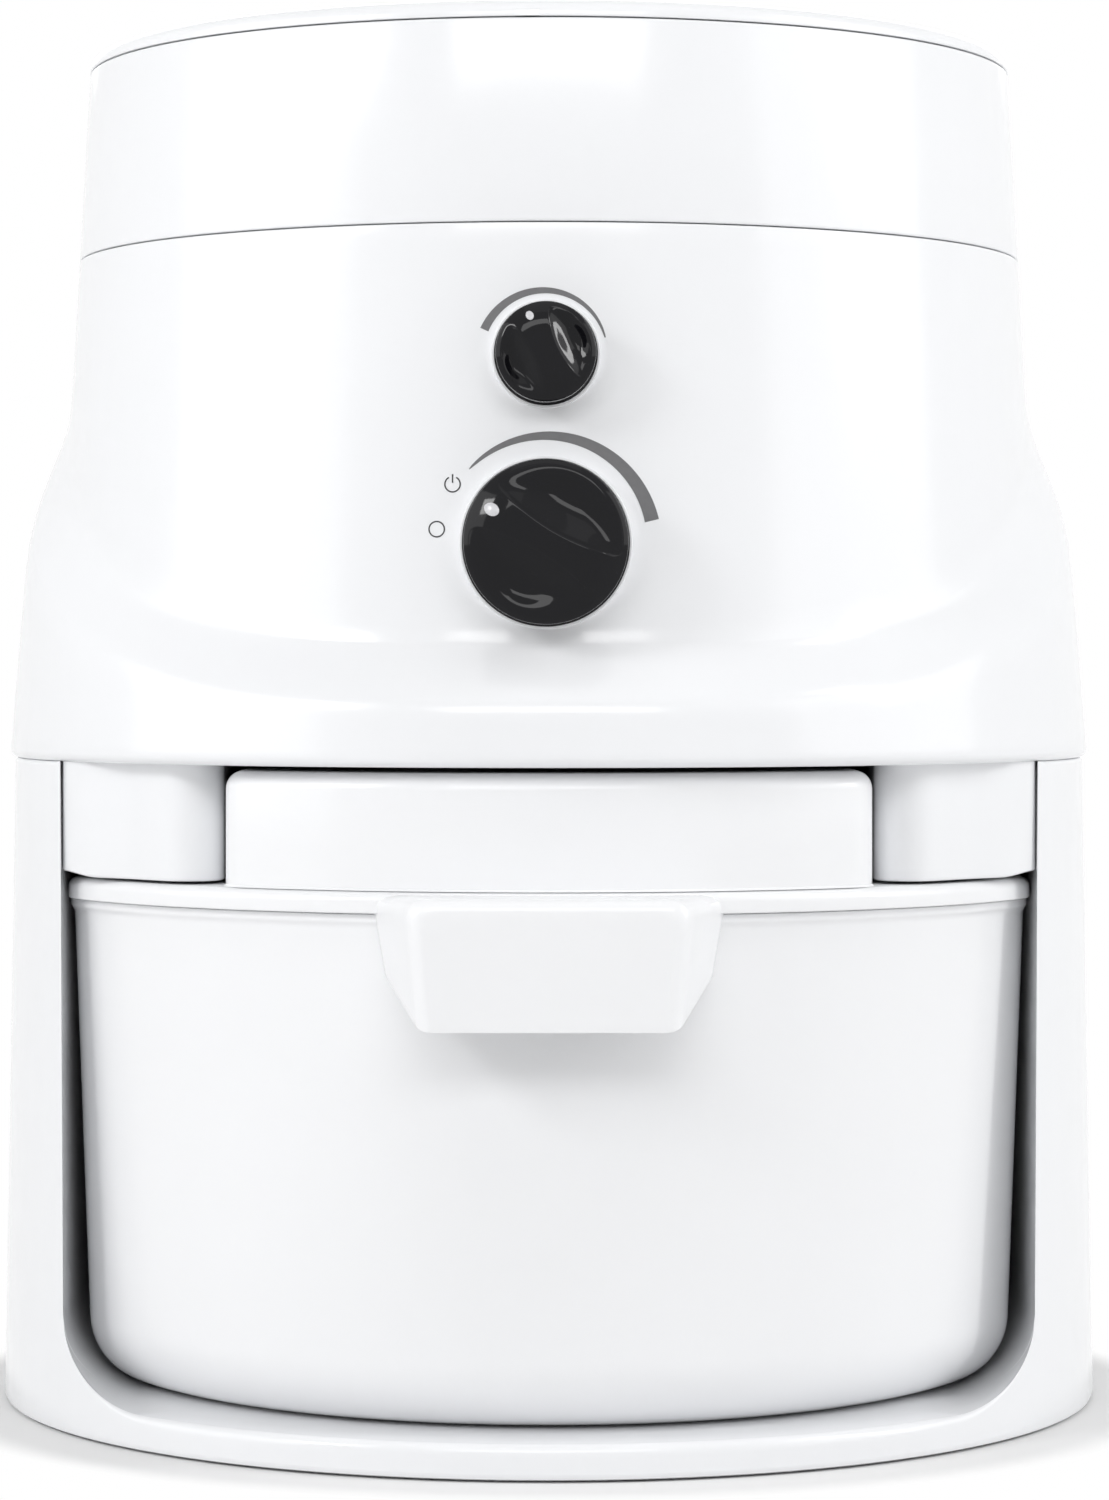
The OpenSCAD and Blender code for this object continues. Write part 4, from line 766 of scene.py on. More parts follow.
SHELL_WHITE = Moulding("shell_white_plastic", (0.86, 0.868, 0.885), 0.16)
BOWL_WHITE = Moulding("bowl_white_plastic", (0.88, 0.886, 0.9), 0.22)
GREY_INK = Ink("grey_ink", (0.15, 0.15, 0.155))
DARK_INK = Ink("dark_ink", (0.035, 0.034, 0.038))
# pale grey of the pointer is a painted highlight: it stands in for the lamp's glow on the dot
POINTER_PAINTED_HIGHLIGHT = Moulding("pointer_painted_highlight", (0.6, 0.6, 0.62), 0.2)
DIAL_GLOSS = Moulding(
    "dial_gloss_black", (0.005, 0.005, 0.0065), 0.06, 0.15, grain_scale=700.0, grain=2e-6, ior=1.3
)
DIAL_SCOOP = Scooped("dial_scoop_black")
FINISHES = {
    "shell_white": SHELL_WHITE,
    "bowl_white": BOWL_WHITE,
    "inner_plastic": Moulding("inner_natural_plastic", (0.72, 0.71, 0.67), 0.4, 0.04, 500.0, 4e-5),
    "dark_plastic": Moulding("inner_dark_plastic", (0.03, 0.031, 0.034), 0.42, 0.1, 500.0, 5e-5),
    "rubber": Rubber("foot_rubber", (0.022, 0.022, 0.023)),
    "silicone": Rubber("seal_silicone", (0.45, 0.44, 0.43), 0.55, 500.0, 0.00003),
    "steel": Metal("zinc_plated_steel", (0.6, 0.6, 0.58), 0.28, Lay.TURNED),
    "motor_steel": Metal("motor_case_steel", (0.52, 0.52, 0.53), 0.34, Lay.CAST),
    "stainless": Metal("stainless_steel", (0.66, 0.65, 0.63), 0.22, Lay.TURNED),
    "bearing_steel": Metal("bearing_steel", (0.7, 0.7, 0.7), 0.12, Lay.TURNED, 0.05),
    "cast_aluminium": Metal("cast_aluminium", (0.72, 0.72, 0.73), 0.42, Lay.CAST),
    "sheet_aluminium": Metal("sheet_aluminium", (0.78, 0.78, 0.79), 0.3, Lay.DRAWN),
    "brass": Metal("brass", (0.75, 0.55, 0.25), 0.26, Lay.TURNED),
    "copper": Banded("wound_copper", (0.62, 0.25, 0.1), (0.1, 0.03, 0.01), 0.7),
    "commutator_copper": Metal("commutator_copper", (0.8, 0.42, 0.28), 0.25, Lay.TURNED),
    "laminations": Banded("core_laminations", (0.4, 0.4, 0.42), (0.09, 0.09, 0.1), 0.5),
    "carbon": Rubber("brush_carbon", (0.025, 0.025, 0.027), 0.6, 1500.0, 0.00002),
    "board_green": Board("circuit_board"),
    "filter_yellow": Moulding("filter_yellow_plastic", (0.75, 0.5, 0.04), 0.3, 0.05),
    "clear_plastic": Moulding("cup_plastic", (0.6, 0.66, 0.7), 0.18, 0.03),
    "foam": Rubber("filter_foam", (0.06, 0.06, 0.065), 0.95, 700.0, 0.0006),
}


def dress(piece: bpy.types.Object, *finishes: Finish) -> None:
    """Gives a piece its materials, each made once.

    Args:
        piece: Piece to finish.
        finishes: Its finishes in slot order.
    """
    piece.data.materials.clear()
    for finish in finishes:
        made = bpy.data.materials.get(finish.name)
        piece.data.materials.append(made or finish.material())


@dataclass
class Cradle:
    """U-shaped base: a deck with a rounded lip, two side pillars and the back wall."""

    corner_r: float = 20.0
    room_low: float = 115.2
    skin_low: float = 0.5
    lip_r: float = 2.4
    edge_r: float = 1.1
    tip: float = 1.6
    columns: int = 132
    foot_r: float = 1.2
    rim_w: float = 3.0
    recess: float = 2.3
    lean_over: float = 0.5

    def wall_in(self, sine: np.ndarray, cosine: np.ndarray, half: np.ndarray | float) -> np.ndarray:
        """Distance from the axis to the bowl's room, in a direction.

        Straight walls at a half width in front; behind, the fourth-power plan, whose reach is
        (|sin / half|^4 + |cos / back|^4)^(-1/4), held to the half width.

        Args:
            sine: Sine of the direction, from the front.
            cosine: Its cosine.
            half: Half width of the room.

        Returns:
            Distance for each direction.
        """
        sine = np.maximum(sine, 1e-4)
        side = half / sine
        rear = ((sine / OPEN_X) ** 4 + (np.minimum(cosine, 0.0) / BACK_Y) ** 4) ** -0.25
        return np.where(cosine < 0.0, np.minimum(side, rear), side)

    def build(self) -> bpy.types.Object:
        """Builds half of the base as one grid of columns round the axis and mirrors it.

        A column holds the deck, the corner fillet, the inner wall, the top, the outer wall and the
        underside, one after another. In front of the pillar the wall rows shrink to the lip.

        Returns:
            The finished piece.
        """
        foot, deck, top = self.skin_low, LEVEL.deck, LEVEL.mill
        r = self.corner_r

        def room_at(z: np.ndarray | float) -> np.ndarray | float:
            """Half width of the bowl's room at a height."""
            return self.room_low + (OPEN_X - self.room_low) * (z - deck) / (top - deck)

        def outer(sine: np.ndarray, cosine: np.ndarray, z: np.ndarray | float) -> np.ndarray:
            """Distance from the axis to the outer oval in a direction, at a height."""
            return base_a(z) / np.sqrt(sine**2 + (cosine / OVAL) ** 2)

        def tip_at(half: float, z: np.ndarray | float) -> np.ndarray | float:
            """Angle at which the outer oval is a half width away from the middle."""
            x = half / base_a(z)
            return np.arctan2(x, OVAL * np.sqrt(1.0 - x * x))

        low = tip_at(room_at(deck + r), deck + r)
        start = tip_at(self.room_low - r, deck)
        to_low = start + (low - start) * np.linspace(0.0, 1.0, 26) ** 0.7
        front = np.concatenate([np.linspace(0.0, start, 34)[:-1], to_low])
        span = self.tip / base_a(deck)
        blunt = low + span * (1.0 - np.cos(np.linspace(0.0, np.pi / 2, 7)))[1:]
        rear = np.linspace(blunt[-1], np.pi, self.columns)[1:]
        angle = np.concatenate([front, blunt, rear])
        at_tip = len(front) - 1
        fade = np.clip(1.0 - (angle - low) / self.lean_over, 0.0, 1.0)
        swell = np.ones_like(angle)
        swell[at_tip : at_tip + 7] = np.sin(np.linspace(0.0, np.pi / 2, 7))

        def ray(z: np.ndarray | float, rows: int) -> tuple[np.ndarray, np.ndarray]:
            """Sine and cosine of each column at each row's height.

            Args:
                z: Height of the rows.
                rows: Number of rows.

            Returns:
                Sines and cosines, rows x columns.
            """
            lean = np.broadcast_to(tip_at(room_at(z), z) - low, (rows,)).reshape(rows, 1)
            a = angle[None] + np.where(angle[None] >= low, lean * fade[None], 0.0)
            return np.sin(a), np.cos(a)

        sine, cosine = np.sin(angle), np.cos(angle)
        # angle of the corner fillet at which the outer oval cuts it
        lift = np.zeros_like(angle)
        for _ in range(4):
            height = deck + r * (1.0 - np.cos(lift))
            reach = outer(sine, cosine, height) * sine - room_at(height) + r
            lift = np.arcsin(np.clip(reach / r, 0.0, 1.0))
        lift[at_tip:] = np.pi / 2
        share = np.linspace(0.0, 1.0, 15)[:, None]
        arc = share * lift[None]
        fillet_z = deck + r * (1.0 - np.cos(arc))
        room = self.wall_in(sine[None], cosine[None], room_at(fillet_z) - r + r * np.sin(arc))
        fillet = np.minimum(room, outer(sine, cosine, fillet_z))
        edge_z = fillet_z[-1]

        heights = deck + r + (top - deck - r) * np.linspace(0.0, 1.0, 12)[1:-1]
        wall_z = np.broadcast_to(heights[:, None], (len(heights), len(angle)))
        ws, wc = ray(heights, len(heights))
        inner_w = self.wall_in(ws, wc, room_at(heights[:, None]))
        outer_w = outer(ws, wc, heights[:, None])
        middle = (inner_w + outer_w) / 2
        half = np.maximum(outer_w - inner_w, 0.0) / 2 * swell[None]
        ts, tc = ray(top, 1)
        t_in, t_out = self.wall_in(ts, tc, OPEN_X)[0], outer(ts, tc, top)[0]
        t_mid, t_half = (t_in + t_out) / 2, np.maximum(t_out - t_in, 0.0) / 2 * swell
        bend = np.minimum(self.edge_r, 0.8 * t_half)
        q = np.linspace(0.0, np.pi / 2, 6)[:, None]
        rim_rho = np.concatenate([
            t_mid - t_half + bend * (1.0 - np.cos(q)),
            t_mid + t_half - bend * (1.0 - np.cos(q[::-1])),
        ])
        rim_z = top - bend * (1.0 - np.sin(np.concatenate([q, q[::-1]])))

        lip = self.lip_r * (1.0 - smooth((angle - start * 0.8) / (low - start * 0.8)))
        lip[at_tip:] = 0.0
        skin_t = np.linspace(0.0, 1.0, 12)[:, None]
        low_z = foot + self.foot_r
        outer_z = edge_z - lip + (low_z - edge_z + lip) * skin_t
        outer_rho = outer(sine, cosine, outer_z)

        def corner(s: np.ndarray) -> tuple[np.ndarray, np.ndarray]:
            """Rounded lip from the deck's edge to the outer wall: (1-s)^2 A + 2s(1-s) T + s^2 B.

            Args:
                s: Share of the way, 0 at the deck and 1 at the wall.

            Returns:
                Distance from the axis and height, rows x columns.
            """
            a_rho, a_z = fillet[-1] - lip, edge_z
            b_rho, b_z = outer_rho[0], outer_z[0]
            rho = (1 - s) ** 2 * a_rho + 2 * s * (1 - s) * fillet[-1] + s**2 * b_rho
            return rho, (1 - s) ** 2 * a_z + 2 * s * (1 - s) * edge_z + s**2 * b_z

        lip_rho, lip_z = corner(np.linspace(0.0, 1.0, 7)[:, None])
        inside = np.minimum(fillet, (fillet[-1] - lip)[None])
        deck_share = np.linspace(0.0, 1.0, 18)[:-1, None]
        deck_rho = deck_share * inside[0]
        deck_z = np.broadcast_to(deck, deck_rho.shape)
        foot_rho = outer(sine, cosine, foot)
        rim_in, roof = foot_rho - self.rim_w, foot + self.recess
        under = np.stack([
            foot_rho - 0.35, foot_rho - self.foot_r, rim_in,
            rim_in - 0.2, foot_rho * 0.5, 0.0 * foot_rho,
        ])
        under_z = np.array([foot + 0.35, foot, foot, roof, roof, roof])
        under_z = np.broadcast_to(under_z[:, None], under.shape)

        def place(rho: np.ndarray, z: np.ndarray, s: np.ndarray, c: np.ndarray) -> np.ndarray:
            """Turns distance and height into points."""
            s, c = np.broadcast_to(s, rho.shape), np.broadcast_to(c, rho.shape)
            return np.stack([rho * s, -rho * c, np.broadcast_to(z, rho.shape)], -1)

        before = np.arange(len(angle)) < at_tip
        lip_point = place(fillet[-1:], edge_z[None], sine, cosine)
        walls = np.concatenate([
            place(middle - half, wall_z, ws, wc),
            place(rim_rho, rim_z, ts, tc),
            place((middle + half)[::-1], wall_z[::-1], ws[::-1], wc[::-1]),
        ])
        walls = np.where(before[None, :, None], lip_point, walls)
        deck_part = place(deck_rho, deck_z, sine, cosine)
        fillet_part = place(inside, fillet_z, sine, cosine)
        lip_part = place(lip_rho, lip_z, sine, cosine)
        outer_part = place(outer_rho, outer_z, sine, cosine)
        under_part = place(under, under_z, sine, cosine)
        skin = Skin()
        flat_rows = [deck_part, fillet_part, lip_part, outer_part, under_part]
        tall_rows = [deck_part, fillet_part, walls, outer_part, under_part]
        flat = np.concatenate(flat_rows)[:, : at_tip + 1]
        tall = np.concatenate(tall_rows)[:, at_tip:]
        for mirror in (1.0, -1.0):
            skin.grid(flat * (mirror, 1.0, 1.0))
            skin.grid(tall * (mirror, 1.0, 1.0))
        return skin.build("base_cradle_skin", "mill")

    def dress(self, piece: bpy.types.Object) -> None:
        """Finishes the base in the shell's gloss white.

        Args:
            piece: The base.
        """
        dress(piece, SHELL_WHITE)
        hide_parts("base_cradle")


@dataclass
class Housing:
    """Main housing: skirt, shoulder that climbs towards the rear, and tapering neck."""

    edge_r: float = 2.2
    seam_r: float = 0.45
    shoulder: float = 21.3
    rise: float = 57.0
    band_front: float = 6.75
    band_side: float = 10.75
    crisp_front: float = 12.0
    crisp_side: float = 4.0
    wrap_angle: float = 100.0
    columns: int = ROUND
    vents: int = 13
    vent_w: float = 3.0
    vent_pitch: float = 2.6
    vent_low: float = 40.0
    vent_h: float = 30.0
    vent_y: tuple = (100.0, 170.0)
    seats: tuple = ((FEED_Y, FEED_Z, FEED_R), (SPEED_Y, SPEED_Z, SPEED_R))
    seat_hole: float = 6.0
    seat_out: float = 0.6
    seat_t: float = 5.0
    gland_z: float = 176.2
    gland_r: float = 6.5
    gland_y: tuple = (120.0, 170.0)

    def wrap(self, degrees: np.ndarray) -> np.ndarray:
        """Share of the way from front to side: t^4 (5 - 4t), t being the angle over wrap_angle."""
        t = np.minimum(np.abs(degrees) / self.wrap_angle, 1.0)
        return t**4 * (5.0 - 4.0 * t)

    def half_width(self, degrees: np.ndarray, z: np.ndarray) -> np.ndarray:
        """Half width at an angle and height: the neck plus a soft step out to the skirt.

        The step is (soft(k u) - soft(k u - k)) / k with soft(x) = log(1 + exp x), where u runs
        from 0 at the band's upper edge to 1 at its lower edge.

        Args:
            degrees: Angle from the front.
            z: Height.

        Returns:
            Half width for each angle and height.
        """
        w = self.wrap(degrees)
        middle = LEVEL.mill + self.shoulder + self.rise * w
        half = self.band_front + (self.band_side - self.band_front) * w
        k = self.crisp_front - (self.crisp_front - self.crisp_side) * w
        u = (middle + half - z) / (2.0 * half)
        step = (np.logaddexp(0.0, k * u) - np.logaddexp(0.0, k * (u - 1.0))) / k
        return neck_a(z) + (skirt_a(z) - neck_a(z)) * step

    def rows(self, degrees: np.ndarray, share: np.ndarray) -> np.ndarray:
        """Heights of the rows: 0 to 1 is the skirt, 1 to 2 the band and 2 to 3 the neck.

        Args:
            degrees: Angle of each column.
            share: Place of each row.

        Returns:
            Heights, rows x columns.
        """
        w = self.wrap(degrees)[None]
        middle = LEVEL.mill + self.shoulder + self.rise * w
        half = self.band_front + (self.band_side - self.band_front) * w
        low, high = LEVEL.mill + self.edge_r, LEVEL.neck - self.seam_r
        z2, z1 = middle - half, middle + half
        s = share[:, None]
        skirt, band, neck = s * (z2 - low), (s - 1) * (z1 - z2), (s - 2) * (high - z1)
        return np.where(s < 1.0, low + skirt, np.where(s < 2.0, z2 + band, z1 + neck))

    def build(self) -> bpy.types.Object:
        """Builds the outer and inner walls with rounded edges, then cuts the vents and the gland.

        Returns:
            The finished piece.
        """
        degrees = np.linspace(-180.0, 180.0, self.columns, endpoint=False)
        skirt, band, neck = np.linspace(0, 1, 12), np.linspace(1, 2, 36), np.linspace(2, 3, 26)
        share = np.concatenate([skirt[:-1], band[:-1], neck])
        z = self.rows(degrees, share)
        a = self.half_width(degrees, z)
        q = np.linspace(0.0, np.pi / 2, 7)[:-1, None]
        foot = skirt_a(LEVEL.mill + self.edge_r) + 0.0 * degrees
        low_a = foot - self.edge_r * (1.0 - np.sin(q))
        low_z = LEVEL.mill + self.edge_r * (1.0 - np.cos(q)) + 0.0 * degrees
        p = np.linspace(0.0, np.pi / 2, 5)[1:, None]
        top_a = a[-1] - self.seam_r * (1.0 - np.cos(p))
        top_z = LEVEL.neck - self.seam_r * (1.0 - np.sin(p)) + 0.0 * degrees
        top_in, low_in = top_a[-1:] - SHELL_T + self.seam_r, low_a[:1] - SHELL_T + self.edge_r
        inner_a = np.concatenate([top_in, a[::-1] - SHELL_T, low_in])
        inner_z = np.concatenate([top_z[-1:], z[::-1], low_z[:1]])
        half = np.concatenate([low_a, a, top_a, inner_a, low_a[:1]])
        height = np.concatenate([low_z, z, top_z, inner_z, low_z[:1]])
        t = np.radians(degrees)
        skin = Skin()
        skin.grid(np.stack([half * np.sin(t), -OVAL * half * np.cos(t), height], -1), wrap=True)
        piece = skin.build("main_housing_skin", "mill")
        cutter = Skin()
        vent_z = LEVEL.mill + self.vent_low + self.vent_h / 2
        for k in range(self.vents):
            x = (k - (self.vents - 1) / 2) * self.vent_pitch * self.vent_w
            line = slot_line((x, vent_z), (-self.vent_w / 2, self.vent_h / 2))
            cutter.closed(np.stack([np.insert(line, 1, y, axis=1) for y in self.vent_y]))
        gland = np.array([[self.gland_r, y] for y in self.gland_y])
        cutter.closed(round_y(gland, 0.0, self.gland_z))
        cut(piece, cutter)
        return piece

    def build_seats(self) -> bpy.types.Object:
        """Builds the flat round seats behind the dials.

        Returns:
            The finished piece.
        """
        skin = Skin()
        hole = self.seat_hole
        for y, z, r in self.seats:
            out, back = r + self.seat_out, y + self.seat_t
            start = [hole, y + 0.2]
            line = np.array([start, [hole, y], [out, y], [out, back], [hole, back], start])
            skin.grid(round_y(eased(line, 0.3), DIAL_X, z), wrap=True)
        return skin.build("dial_seats", "mill")

    def dress(self, piece: bpy.types.Object, seats: bpy.types.Object) -> None:
        """Finishes the housing and its seats in gloss white.

        Args:
            piece: The housing.
            seats: The seats of the dials.
        """
        dress(piece, SHELL_WHITE)
        dress(seats, SHELL_WHITE)
        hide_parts("main_housing")


@dataclass
class SideRails:
    """Two runners under the housing, one on each side of the tower."""

    inner: float = 76.0
    front_a: float = SKIRT_A - 6.0
    tip_out: float = 8.5
    tip_from: float = 97.0
    edge_r: float = 8.0
    low: float = 132.4
    rise: float = 1.1
    rise_over: float = 9.0
    lower_r: float = 0.7

    def plan(self) -> np.ndarray:
        """Plan of the right rail: rounded inner edge, oval front, straight outer side and back.

        Towards its outer end the front steps forward, to lie level with the pillar's edge.
        The round edge's centre lies on the oval drawn in by the radius; it meets the oval where
        the normal (x / a^2, y / b^2) points.

        Returns:
            Points x 2, anticlockwise.
        """
        half, back, r = OPEN_X - SEAM, BACK_Y - SEAM, self.edge_r
        a, b = self.front_a - r, OVAL * self.front_a - r
        x = self.inner + r
        y = -b * math.sqrt(1.0 - (x / a) ** 2)
        meet = math.atan2(y / b**2, x / a**2)
        t = np.linspace(-np.pi, meet, 24)
        edge = np.stack([x + r * np.cos(t), y + r * np.sin(t)], -1)
        front_x = np.linspace(edge[-1, 0], half, 40)
        front_y = -OVAL * np.sqrt(self.front_a**2 - front_x**2)
        step = smooth((front_x - self.tip_from) / (half - self.tip_from))
        front_y = front_y - self.tip_out * step
        front = np.stack([front_x, front_y], -1)
        rear_x = half * np.sin(np.linspace(np.pi / 2, math.asin(self.inner / half), 40))
        rear = np.stack([rear_x, back * (1.0 - (rear_x / half) ** 4).clip(0.0) ** 0.25], -1)
        return even(np.concatenate([edge, front[1:], rear]), 200, closed=True)

    def build(self) -> bpy.types.Object:
        """Stacks the plan from a rounded lower edge, which lifts at the outer end, to the top.

        Returns:
            The finished piece.
        """
        plan = self.plan()
        q = np.linspace(0.0, np.pi / 2, 6)
        height = LEVEL.mill - self.low
        up = np.concatenate([[0.0], self.lower_r * (1.0 - np.cos(q)), [3.0, 12.0, height]])
        away = np.concatenate([[3.0], self.lower_r * (1.0 - np.sin(q)), [0.0, 0.0, 0.0]])
        plans = moved_in(plan, away)
        outer = smooth(1.0 - (OPEN_X - SEAM - plan[:, 0]) / self.rise_over)
        fade = 1.0 - (up / height)[:, None]
        rows = raised(plans, self.low + up[:, None] + self.rise * outer[None] * fade)
        skin = Skin()
        for mirror in (1.0, -1.0):
            skin.closed(rows * (mirror, 1.0, 1.0))
        return skin.build("side_rails_skin", "mill")

    def dress(self, piece: bpy.types.Object) -> None:
        """Finishes the rails in gloss white.

        Args:
            piece: The rails.
        """
        dress(piece, SHELL_WHITE)
        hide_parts("side_rails")


@dataclass
class HopperTop:
    """Hopper ring and its lid."""

    ledge_z: float = LEVEL.ring + 11.0
    rim_h: float = 4.0
    edge_r: float = 3.6
    crown: float = 8.2
    lid_t: float = 2.4
    skirt: float = 8.0
    tab_x: float = -4.9
    tab_w: float = 5.8
    tab_out: float = 0.22
    spigot_h: float = 6.0
    ledge_t: float = 3.0

    def build_ring(self) -> bpy.types.Object:
        """Turns the ring's section round the oval.

        Returns:
            The finished piece.
        """
        spigot = neck_a(LEVEL.neck) - SHELL_T - SEAM
        bore = HOPPER_A - SHELL_T
        ledge, under = self.ledge_z, self.ledge_z - self.ledge_t
        seam, end = LEVEL.ring, LEVEL.ring - self.spigot_h
        line = np.array([
            [bore - 1.0, ledge], [bore - 3.5, ledge], [bore - 3.5, under],
            [neck_a(ledge) - SHELL_T, under], [neck_a(seam) - SHELL_T - 2.9, seam + 1.0],
            [spigot - SHELL_T, seam - 1.0], [spigot - SHELL_T, end], [spigot, end],
            [spigot, seam], [neck_a(seam), seam], [HOPPER_A, LEVEL.brim], [bore, LEVEL.brim],
            [bore, ledge], [bore - 1.0, ledge],
        ])
        reach = np.array([0, .3, .3, .3, .3, .3, .3, .3, .1, .5, .6, .6, .4, 0])
        skin = Skin()
        skin.grid(turned(eased(line, reach)), wrap=True)
        return skin.build("hopper_ring_skin", "mill")

    def build_lid(self) -> bpy.types.Object:
        """Turns the lid's section: z falls from the crown with the square of the distance.

        Returns:
            The finished piece.
        """
        edge = HOPPER_A - self.edge_r
        plug = HOPPER_A - SHELL_T - 2 * SEAM
        inside = plug - self.lid_t
        base = LEVEL.lid + self.rim_h

        def crown_z(a: np.ndarray) -> np.ndarray:
            """Height of the crown above the lid's seat."""
            return base + self.crown * (1.0 - (a / edge) ** 2)

        a = np.linspace(0.0, edge, 40)
        top = np.stack([a, crown_z(a)], -1)
        q = np.linspace(np.pi / 2 - 0.15, 0.0, 10)
        rim = np.stack([edge + self.edge_r * np.cos(q), base - self.edge_r * (1 - np.sin(q))], -1)
        seat, end = LEVEL.lid, LEVEL.lid - self.skirt
        low = np.array([
            [HOPPER_A, seat + 0.35], [HOPPER_A, seat], [plug, seat],
            [plug, end], [inside, end], [inside, seat + 1.0],
        ])
        low = eased(low, np.array([0, .35, .2, .6, .6, 0]))
        b = np.linspace(inside, 0.0, 30)
        under = np.stack([b, crown_z(b) - self.lid_t], -1)
        skin = Skin()
        skin.grid(turned(np.concatenate([top, rim, low, under])), wrap=True)
        return skin.build("lid_skin", "hopper_lid")

    def build_tab(self) -> bpy.types.Object:
        """Builds the small tab that sets the lid's turn: a rounded block bent to the oval.

        Returns:
            The finished piece.
        """
        x = self.tab_x + self.tab_w / 2 * np.array([-1.0, -0.96, -0.8, 0.0, 0.8, 0.96, 1.0])
        lift = self.tab_out * np.array([-4.0, 0.0, 0.8, 1.0, 0.8, 0.0, -4.0])
        z = np.array([LEVEL.brim + 1.9, LEVEL.brim + 1.85, LEVEL.brim + 1.5, LEVEL.lid, LEVEL.lid])
        fall = np.array([-0.9, 0.0, 0.6, 1.0, -4.0])
        xx, zz = np.meshgrid(x, z)
        out = np.minimum(lift[None], self.tab_out * fall[:, None])
        y = -OVAL * np.sqrt(HOPPER_A**2 - xx**2) - out
        skin = Skin()
        front = np.stack([xx, y, zz], -1)
        back = front.copy()
        back[..., 1] = y.max() + 0.5
        skin.grid(front)
        skin.grid(back)
        sides = [(g[0], g[1:, -1], g[-1, -2::-1], g[-2:0:-1, 0]) for g in (front, back)]
        skin.grid(np.stack([np.concatenate(side) for side in sides]), wrap=True)
        return skin.build("lid_tab", "hopper_lid")

    def dress(self, ring: bpy.types.Object, lid: bpy.types.Object, tab: bpy.types.Object) -> None:
        """Finishes ring, lid and tab in gloss white.

        Args:
            ring: The hopper ring.
            lid: Its lid.
            tab: The tab on the lid's rim.
        """
        for piece in (ring, lid, tab):
            dress(piece, SHELL_WHITE)
        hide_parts("hopper_ring")
        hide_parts("lid")


@dataclass
class FlourBowl:
    """Bowl with a soft bead round its rim."""

    half: float = 115.5
    front: float = 135.6
    back: float = 98.0
    wall: float = 2.6
    draft: float = 4.4
    edge_r: float = 16.5
    bead_h: float = 2.7
    bead_out: float = 0.75

    def inset(self, up: np.ndarray, wall: float) -> np.ndarray:
        """Inset at a height over the bowl's foot: the draft plus the wall."""
        return self.draft * (1.0 - up / (LEVEL.rim - LEVEL.bowl)) + wall

    def build(self) -> bpy.types.Object:
        """Stacks plans from the middle of the underside, out, up, over the rim and back inside.

        Returns:
            The finished piece.
        """
        height = LEVEL.rim - LEVEL.bowl
        plan = plan_line(self.half, self.front, self.back)
        q = np.linspace(0.0, np.pi / 2, 14)
        r, s = self.edge_r, self.edge_r - self.wall

        def side(r: float, z0: float, wall: float, top: float) -> tuple[np.ndarray, np.ndarray]:
            """Heights and insets of a wall: a quarter circle, then the draft up to a height.

            Args:
                r: Radius of the quarter circle.
                z0: Height where it starts.
                wall: Distance in from the outer skin.
                top: Height where the wall ends.

            Returns:
                Heights and insets.
            """
            up = np.concatenate([z0 + r * (1 - np.cos(q)), np.linspace(z0 + r, top, 10)[1:]])
            away = np.concatenate([r * (1 - np.sin(q)), np.zeros(9)]) + self.inset(up, wall)
            return up, away

        up_o, in_o = side(r, 0.0, 0.0, height - self.bead_h - 0.8)
        up_i, in_i = side(s, self.wall, self.wall, height - 0.6)
        b, o = self.bead_h, self.bead_out
        bead = np.array([
            [up_o[-1], in_o[-1]], [height - b, -0.1], [height - b + 0.9, -o], [height - 0.1, -o],
            [height - 0.1, self.wall], [up_i[-1], in_i[-1]],
        ])
        bead = eased(bead, np.array([0, .6, .5, .35, .7, 0]), 6)
        up = np.concatenate([up_o[:-1], bead[:, 0], up_i[::-1][1:]])
        away = np.concatenate([in_o[:-1], bead[:, 1], in_i[::-1][1:]])
        rows = raised(moved_in(plan, away), LEVEL.bowl + up)
        centre = np.array([0.0, -18.0, 0.0])
        grow = np.linspace(0.0, 1.0, 8)[:-1, None, None]
        first = centre + (rows[:1] - centre) * grow
        last = centre + (rows[-1:] - centre) * grow[::-1]
        first[..., 2], last[..., 2] = rows[0, 0, 2], rows[-1, 0, 2]
        skin = Skin()
        skin.grid(np.concatenate([first, rows, last]), wrap=True)
        return skin.build("flour_bowl_skin", "drawer")

    def dress(self, piece: bpy.types.Object) -> None:
        """Finishes the bowl in its softer white.

        Args:
            piece: The bowl.
        """
        dress(piece, BOWL_WHITE)
        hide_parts("flour_bowl")


